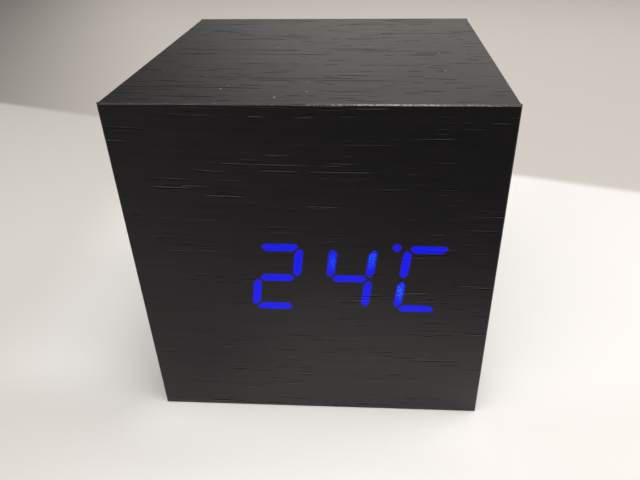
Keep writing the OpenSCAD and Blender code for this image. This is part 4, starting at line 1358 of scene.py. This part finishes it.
@dataclass
class ButtonPanel(Assembly):
    """The three buttons with their switches and signs, and the power jack."""

    mark_h: float = 0.12
    mark_sunk: float = 0.05
    mark_round: float = 0.05
    marks: tuple[ButtonMark, ...] = (
        ButtonMark("set_button", corners=32, radius=0.55),
        ButtonMark("up_button", corners=3, radius=1.0, turn=math.pi),
        ButtonMark("down_button", corners=3, radius=1.0),
    )
    cap: Moulded = Moulded(
        "button_moulded", colour=(0.024, 0.024, 0.026), gloss=0.6, texture=0.34, scuffed=0.35
    )
    stem: Moulded = Moulded("switch_stem", colour=(0.06, 0.06, 0.062), relief=0.006)
    jack: Moulded = Moulded("jack_black", colour=(0.012, 0.012, 0.013), gloss=0.6, relief=0.008)
    brass: Metal = Metal("pin_brass", colour=(0.74, 0.56, 0.26), roughness=0.2)
    leaf: Metal = Metal("leaf_nickel", colour=(0.63, 0.62, 0.58), roughness=0.24)

    def make(self) -> None:
        """Dress the buttons, the stems and the jack, and build the signs."""
        dress(self.cap, "set_button", "up_button", "down_button")
        dress(self.stem, "set_switch_stem", "up_switch_stem", "down_switch_stem")
        dress(self.jack, "power_jack")
        dress(self.brass, "power_jack_pin")
        dress(self.leaf, "power_jack_spring")
        for mark in self.marks:
            self.raised_mark(mark)

    def raised_mark(self, mark: ButtonMark) -> bpy.types.Object:
        """A low raised sign in the middle of a button's cap, with rounded edges.

        Args:
            mark: The sign and its button.

        Returns:
            The new object.
        """
        bm = bmesh.new()
        bmesh.ops.create_circle(bm, cap_ends=True, segments=mark.corners, radius=mark.radius * MM)
        bm.normal_update()
        raised = bmesh.ops.extrude_face_region(bm, geom=bm.faces[:])
        top = [item for item in raised["geom"] if isinstance(item, bmesh.types.BMVert)]
        bmesh.ops.translate(bm, verts=top, vec=(0.0, 0.0, (self.mark_h + self.mark_sunk) * MM))
        rim = [edge for edge in bm.edges if all(vert in top for vert in edge.verts)]
        round_edges(bm, rim, self.mark_round)
        seat = middle_of(mark.button)
        seat.y = box_of(mark.button)[1].y - self.mark_sunk
        turn = Matrix.Rotation(-math.pi / 2, 4, "X") @ Matrix.Rotation(mark.turn, 4, "Z")
        name = f"{mark.button}_mark"
        return finish_piece(seated(bm, seat, turn), name, self.cap, body=mark.button)


@dataclass(frozen=True)
class PaleFloor(Finish):
    """Pale matt board under the clock, greyer towards both sides as painted shade and paler around the
    clock as painted light, and a greyer board past its edge, paler further back and with painted shade to
    its left.
    """

    # The palest tone is painted light near the clock, and the shaded tone is painted shade towards the left
    painted_light_near_clock: Colour = (1.0, 0.97, 0.94)
    bright: Colour = (0.95, 0.92, 0.89)
    shaded: Colour = (0.7, 0.67, 0.63)
    beyond: Colour = (0.645, 0.602, 0.558)
    far_beyond: Colour = (1.0, 0.942, 0.885)

    # The edge between the boards, which runs a little aslant
    edge_slope: float = 0.331
    edge_y: float = 100.2
    edge_blur: Span = (-3.0, 3.0)

    # Places between which the tones change
    before_y: Span = (-46.0, -34.0)
    before_x: Fade = (-42.0, -26.0, 22.0, 36.0)
    around_y: Fade = (-36.0, -18.0, 60.0, 150.0)
    around_x: Fade = (-88.0, -40.0, 34.0, 75.0)
    left_x: Span = (-80.0, 0.0)
    right_x: Span = (5.0, 45.0)
    right_y: Span = (-34.0, -8.0)
    far_y: Span = (60.0, 460.0)
    far_left: Span = (-165.0, 0.0)
    far_slope: float = 0.42

    def fill(self, recipe: Recipe) -> None:
        """Fill the recipe with the boards' tones.

        Args:
            recipe: The material's recipe.
        """
        x, y, _ = recipe.place()
        # Painted light in front of and around the clock, where the clock's own shadow would fall
        before = y.rise(*self.before_y) * x.within(*self.before_x)
        around = y.within(*self.around_y) * x.within(*self.around_x)
        # Painted shade to the right, stronger in front of the clock, and towards the left
        right = x.rise(*self.right_x) * (0.05 + y.fall(*self.right_y) * 0.28)
        near = recipe.mix(x.rise(*self.left_x) - right, self.shaded, self.bright)
        near = recipe.mix(before.most(around), near, self.painted_light_near_clock)
        far = recipe.mix(y.rise(*self.far_y), self.beyond, self.far_beyond)
        # Painted shade towards the left of the board past the edge
        far = recipe.mix((x + y * self.far_slope).fall(*self.far_left) * 0.58, far, BLACK)
        past_edge = (y + x * self.edge_slope - self.edge_y).rise(*self.edge_blur)
        colour = recipe.mix(past_edge, near, far)
        recipe.surface(Base_Color=colour, Roughness=0.7, Specular_IOR_Level=0.2)


@dataclass(frozen=True)
class PaintedReflectionCard(Finish):
    """Matt card of painted reflection and shade: black away from the clock as painted shade, and grey
    towards its left end and beside the clock as painted reflections of the floor.
    """

    # The black is painted shade and the grey is a painted reflection of the floor
    black: Colour = (0.01, 0.01, 0.01)
    grey: Colour = (0.95, 0.9, 0.88)

    # Places between which the tones change
    left_x: Span = (-120.0, 40.0)
    near_y: Span = (-130.0, -80.0)
    middle_x: Span = (-28.0, -2.0)
    right_x: Span = (8.0, 30.0)
    foot_y: Span = (-46.0, -34.0)
    close_y: Span = (-76.0, -56.0)
    close_slope: float = 0.2

    def fill(self, recipe: Recipe) -> None:
        """Fill the recipe with painted reflection: a matt grey that fades to black as painted shade.

        Args:
            recipe: The material's recipe.
        """
        x, y, _ = recipe.place()
        # Painted shade away from the clock, painted reflections of the floor towards the left and beside
        # the clock
        left = x.fall(*self.left_x)
        apart = left * 0.21 + y.rise(*self.near_y) * (left * 0.22 + 0.18)
        beside = 0.5 + x.rise(*self.middle_x) * 0.36 - x.rise(*self.right_x) * 0.11
        beside = beside + y.rise(*self.foot_y) * 0.28
        close = (y - x * self.close_slope).rise(*self.close_y)
        colour = recipe.mix(apart + close * (beside - apart), self.black, self.grey)
        recipe.surface(Base_Color=colour, Roughness=1.0, Specular_IOR_Level=0.0)


@dataclass(frozen=True)
class SoftLamp:
    """A square soft lamp that looks at the clock: its place and its side in millimetres, and its watts."""

    name: str
    at: tuple[float, float, float]
    side: float
    watts: float


@dataclass
class Studio:
    """Floor, world light, lamps and the camera at the photograph's angle."""

    floor_size: Span = (4000.0, 4000.0)
    card_size: Span = (1200.0, 700.0)
    card_edge_y: float = -31.4
    card_z: float = 0.6
    lamps: tuple[SoftLamp, ...] = (
        SoftLamp("key_lamp", at=(140.0, -20.0, 470.0), side=360.0, watts=1.6),
        SoftLamp("top_lamp", at=(-110.0, -150.0, 450.0), side=320.0, watts=0.85),
    )
    focal_pixels: float = 586.94
    frame_width: float = 640.0
    frame_height: float = 480.0
    centre_pixels: Span = (340.56, 252.44)
    sensor: float = 36.0
    sky_colour: Colour = (1.0, 0.95, 0.9)
    sky_least: float = 0.05
    camera_at: Vector = field(default_factory=lambda: Vector((9.830, -113.645, 89.235)))
    looking: Vector = field(default_factory=lambda: Vector((-0.05152, 0.84306, -0.53535)))
    roll: float = math.radians(-0.847)

    def make(self) -> None:
        """Set up everything that isn't part of the clock."""
        self.flat("floor", self.floor_size, Vector(), PaleFloor("floor_with_painted_light"))
        self.card()
        self.world()
        for lamp in self.lamps:
            self.lamp(lamp)
        self.camera()
        bpy.context.scene.view_settings.view_transform = "Standard"
        LOG.info("set up the studio")

    def flat(self, name: str, size: Span, centre: Vector, finish: Finish) -> bpy.types.Object:
        """A flat stage piece.

        Args:
            name: Its name.
            size: Its size along X and Y in millimetres.
            centre: Its middle in millimetres.
            finish: Its finish.

        Returns:
            The new object.
        """
        bm = bmesh.new()
        bmesh.ops.create_grid(bm, x_segments=2, y_segments=2, size=0.5)
        spread = Matrix.Diagonal((size[0] * MM, size[1] * MM, 1.0, 1.0))
        piece = new_object(seated(bm, centre, spread), name, finish)
        return piece

    def card(self) -> None:
        """A card in front of the clock, which shows only in the gloss of the front, with painted reflection
        and shade.
        """
        centre = Vector((0.0, self.card_edge_y - self.card_size[1] / 2, self.card_z))
        card = self.flat("reflection_and_shade_card", self.card_size, centre, PaintedReflectionCard("painted_reflection_card"))
        card.visible_camera = card.visible_diffuse = card.visible_shadow = False
        card.visible_transmission = False

    def world(self) -> None:
        """Soft light from all round, strongest behind the clock on the right and weakest in front."""
        world = bpy.data.worlds.new("studio")
        bpy.context.scene.world = world
        sky = Recipe(world)

        # Direction of the light, from -1 to 1 to the right, to the back and up
        x, y, z = sky.split(sky.add("ShaderNodeTexCoord", output="Generated"))
        across = x + y * 0.15
        upward = 0.2 + z.fall(0.1, 0.36) * 0.4 + z.fall(0.2, 0.7) * 0.4
        sideways = across.rise(-0.33, 0.12) * (0.86 - across.rise(0.05, 0.35) * 0.1)
        behind = y.rise(-0.5, 0.6) * sideways * upward
        front = y.fall(-0.35, 0.35) * 0.12
        above = z.rise(0.35, 0.9) * 0.14
        sky.sky(self.sky_colour, behind + front + above + self.sky_least)

    def lamp(self, lamp: SoftLamp) -> None:
        """Hang one lamp so that it looks at the middle of the clock.

        Args:
            lamp: The lamp.
        """
        light = bpy.data.lights.new(lamp.name, "AREA")
        light.shape = "SQUARE"
        light.size = lamp.side * MM
        light.energy = lamp.watts
        hung = bpy.data.objects.new(lamp.name, light)
        at = Vector(lamp.at)
        hung.location = at * MM
        hung.rotation_euler = ((LOW + HIGH) / 2 - at).to_track_quat("-Z", "Y").to_euler()
        hung.visible_camera = False
        bpy.context.scene.collection.objects.link(hung)

    def camera(self) -> None:
        """The camera, solved from the corners of the clock in the photograph."""
        data = bpy.data.cameras.new("camera")
        data.sensor_width = self.sensor
        data.lens = self.focal_pixels * self.sensor / self.frame_width
        data.shift_x = (self.frame_width / 2 - self.centre_pixels[0]) / self.frame_width
        data.shift_y = (self.centre_pixels[1] - self.frame_height / 2) / self.frame_width
        data.clip_start = MM
        camera = bpy.data.objects.new("camera", data)
        facing = self.looking.to_track_quat("-Z", "Y").to_matrix().to_4x4()
        camera.matrix_world = (
            Matrix.Translation(self.camera_at * MM) @ facing @ Matrix.Rotation(self.roll, 4, "Z")
        )
        bpy.context.scene.collection.objects.link(camera)
        bpy.context.scene.camera = camera


def main() -> None:
    """Build the clock piece by piece, then the studio around it."""
    logging.basicConfig(level=logging.INFO, format="%(message)s")
    assemblies: list[Assembly] = [
        WoodenCase(), GlowingDisplay(), DisplayElectronics(), RearCover(), BatteryBay(), ButtonPanel(),
    ]
    for assembly in assemblies:
        assembly.make()
    Studio().make()


if __name__ == "__main__":
    main()
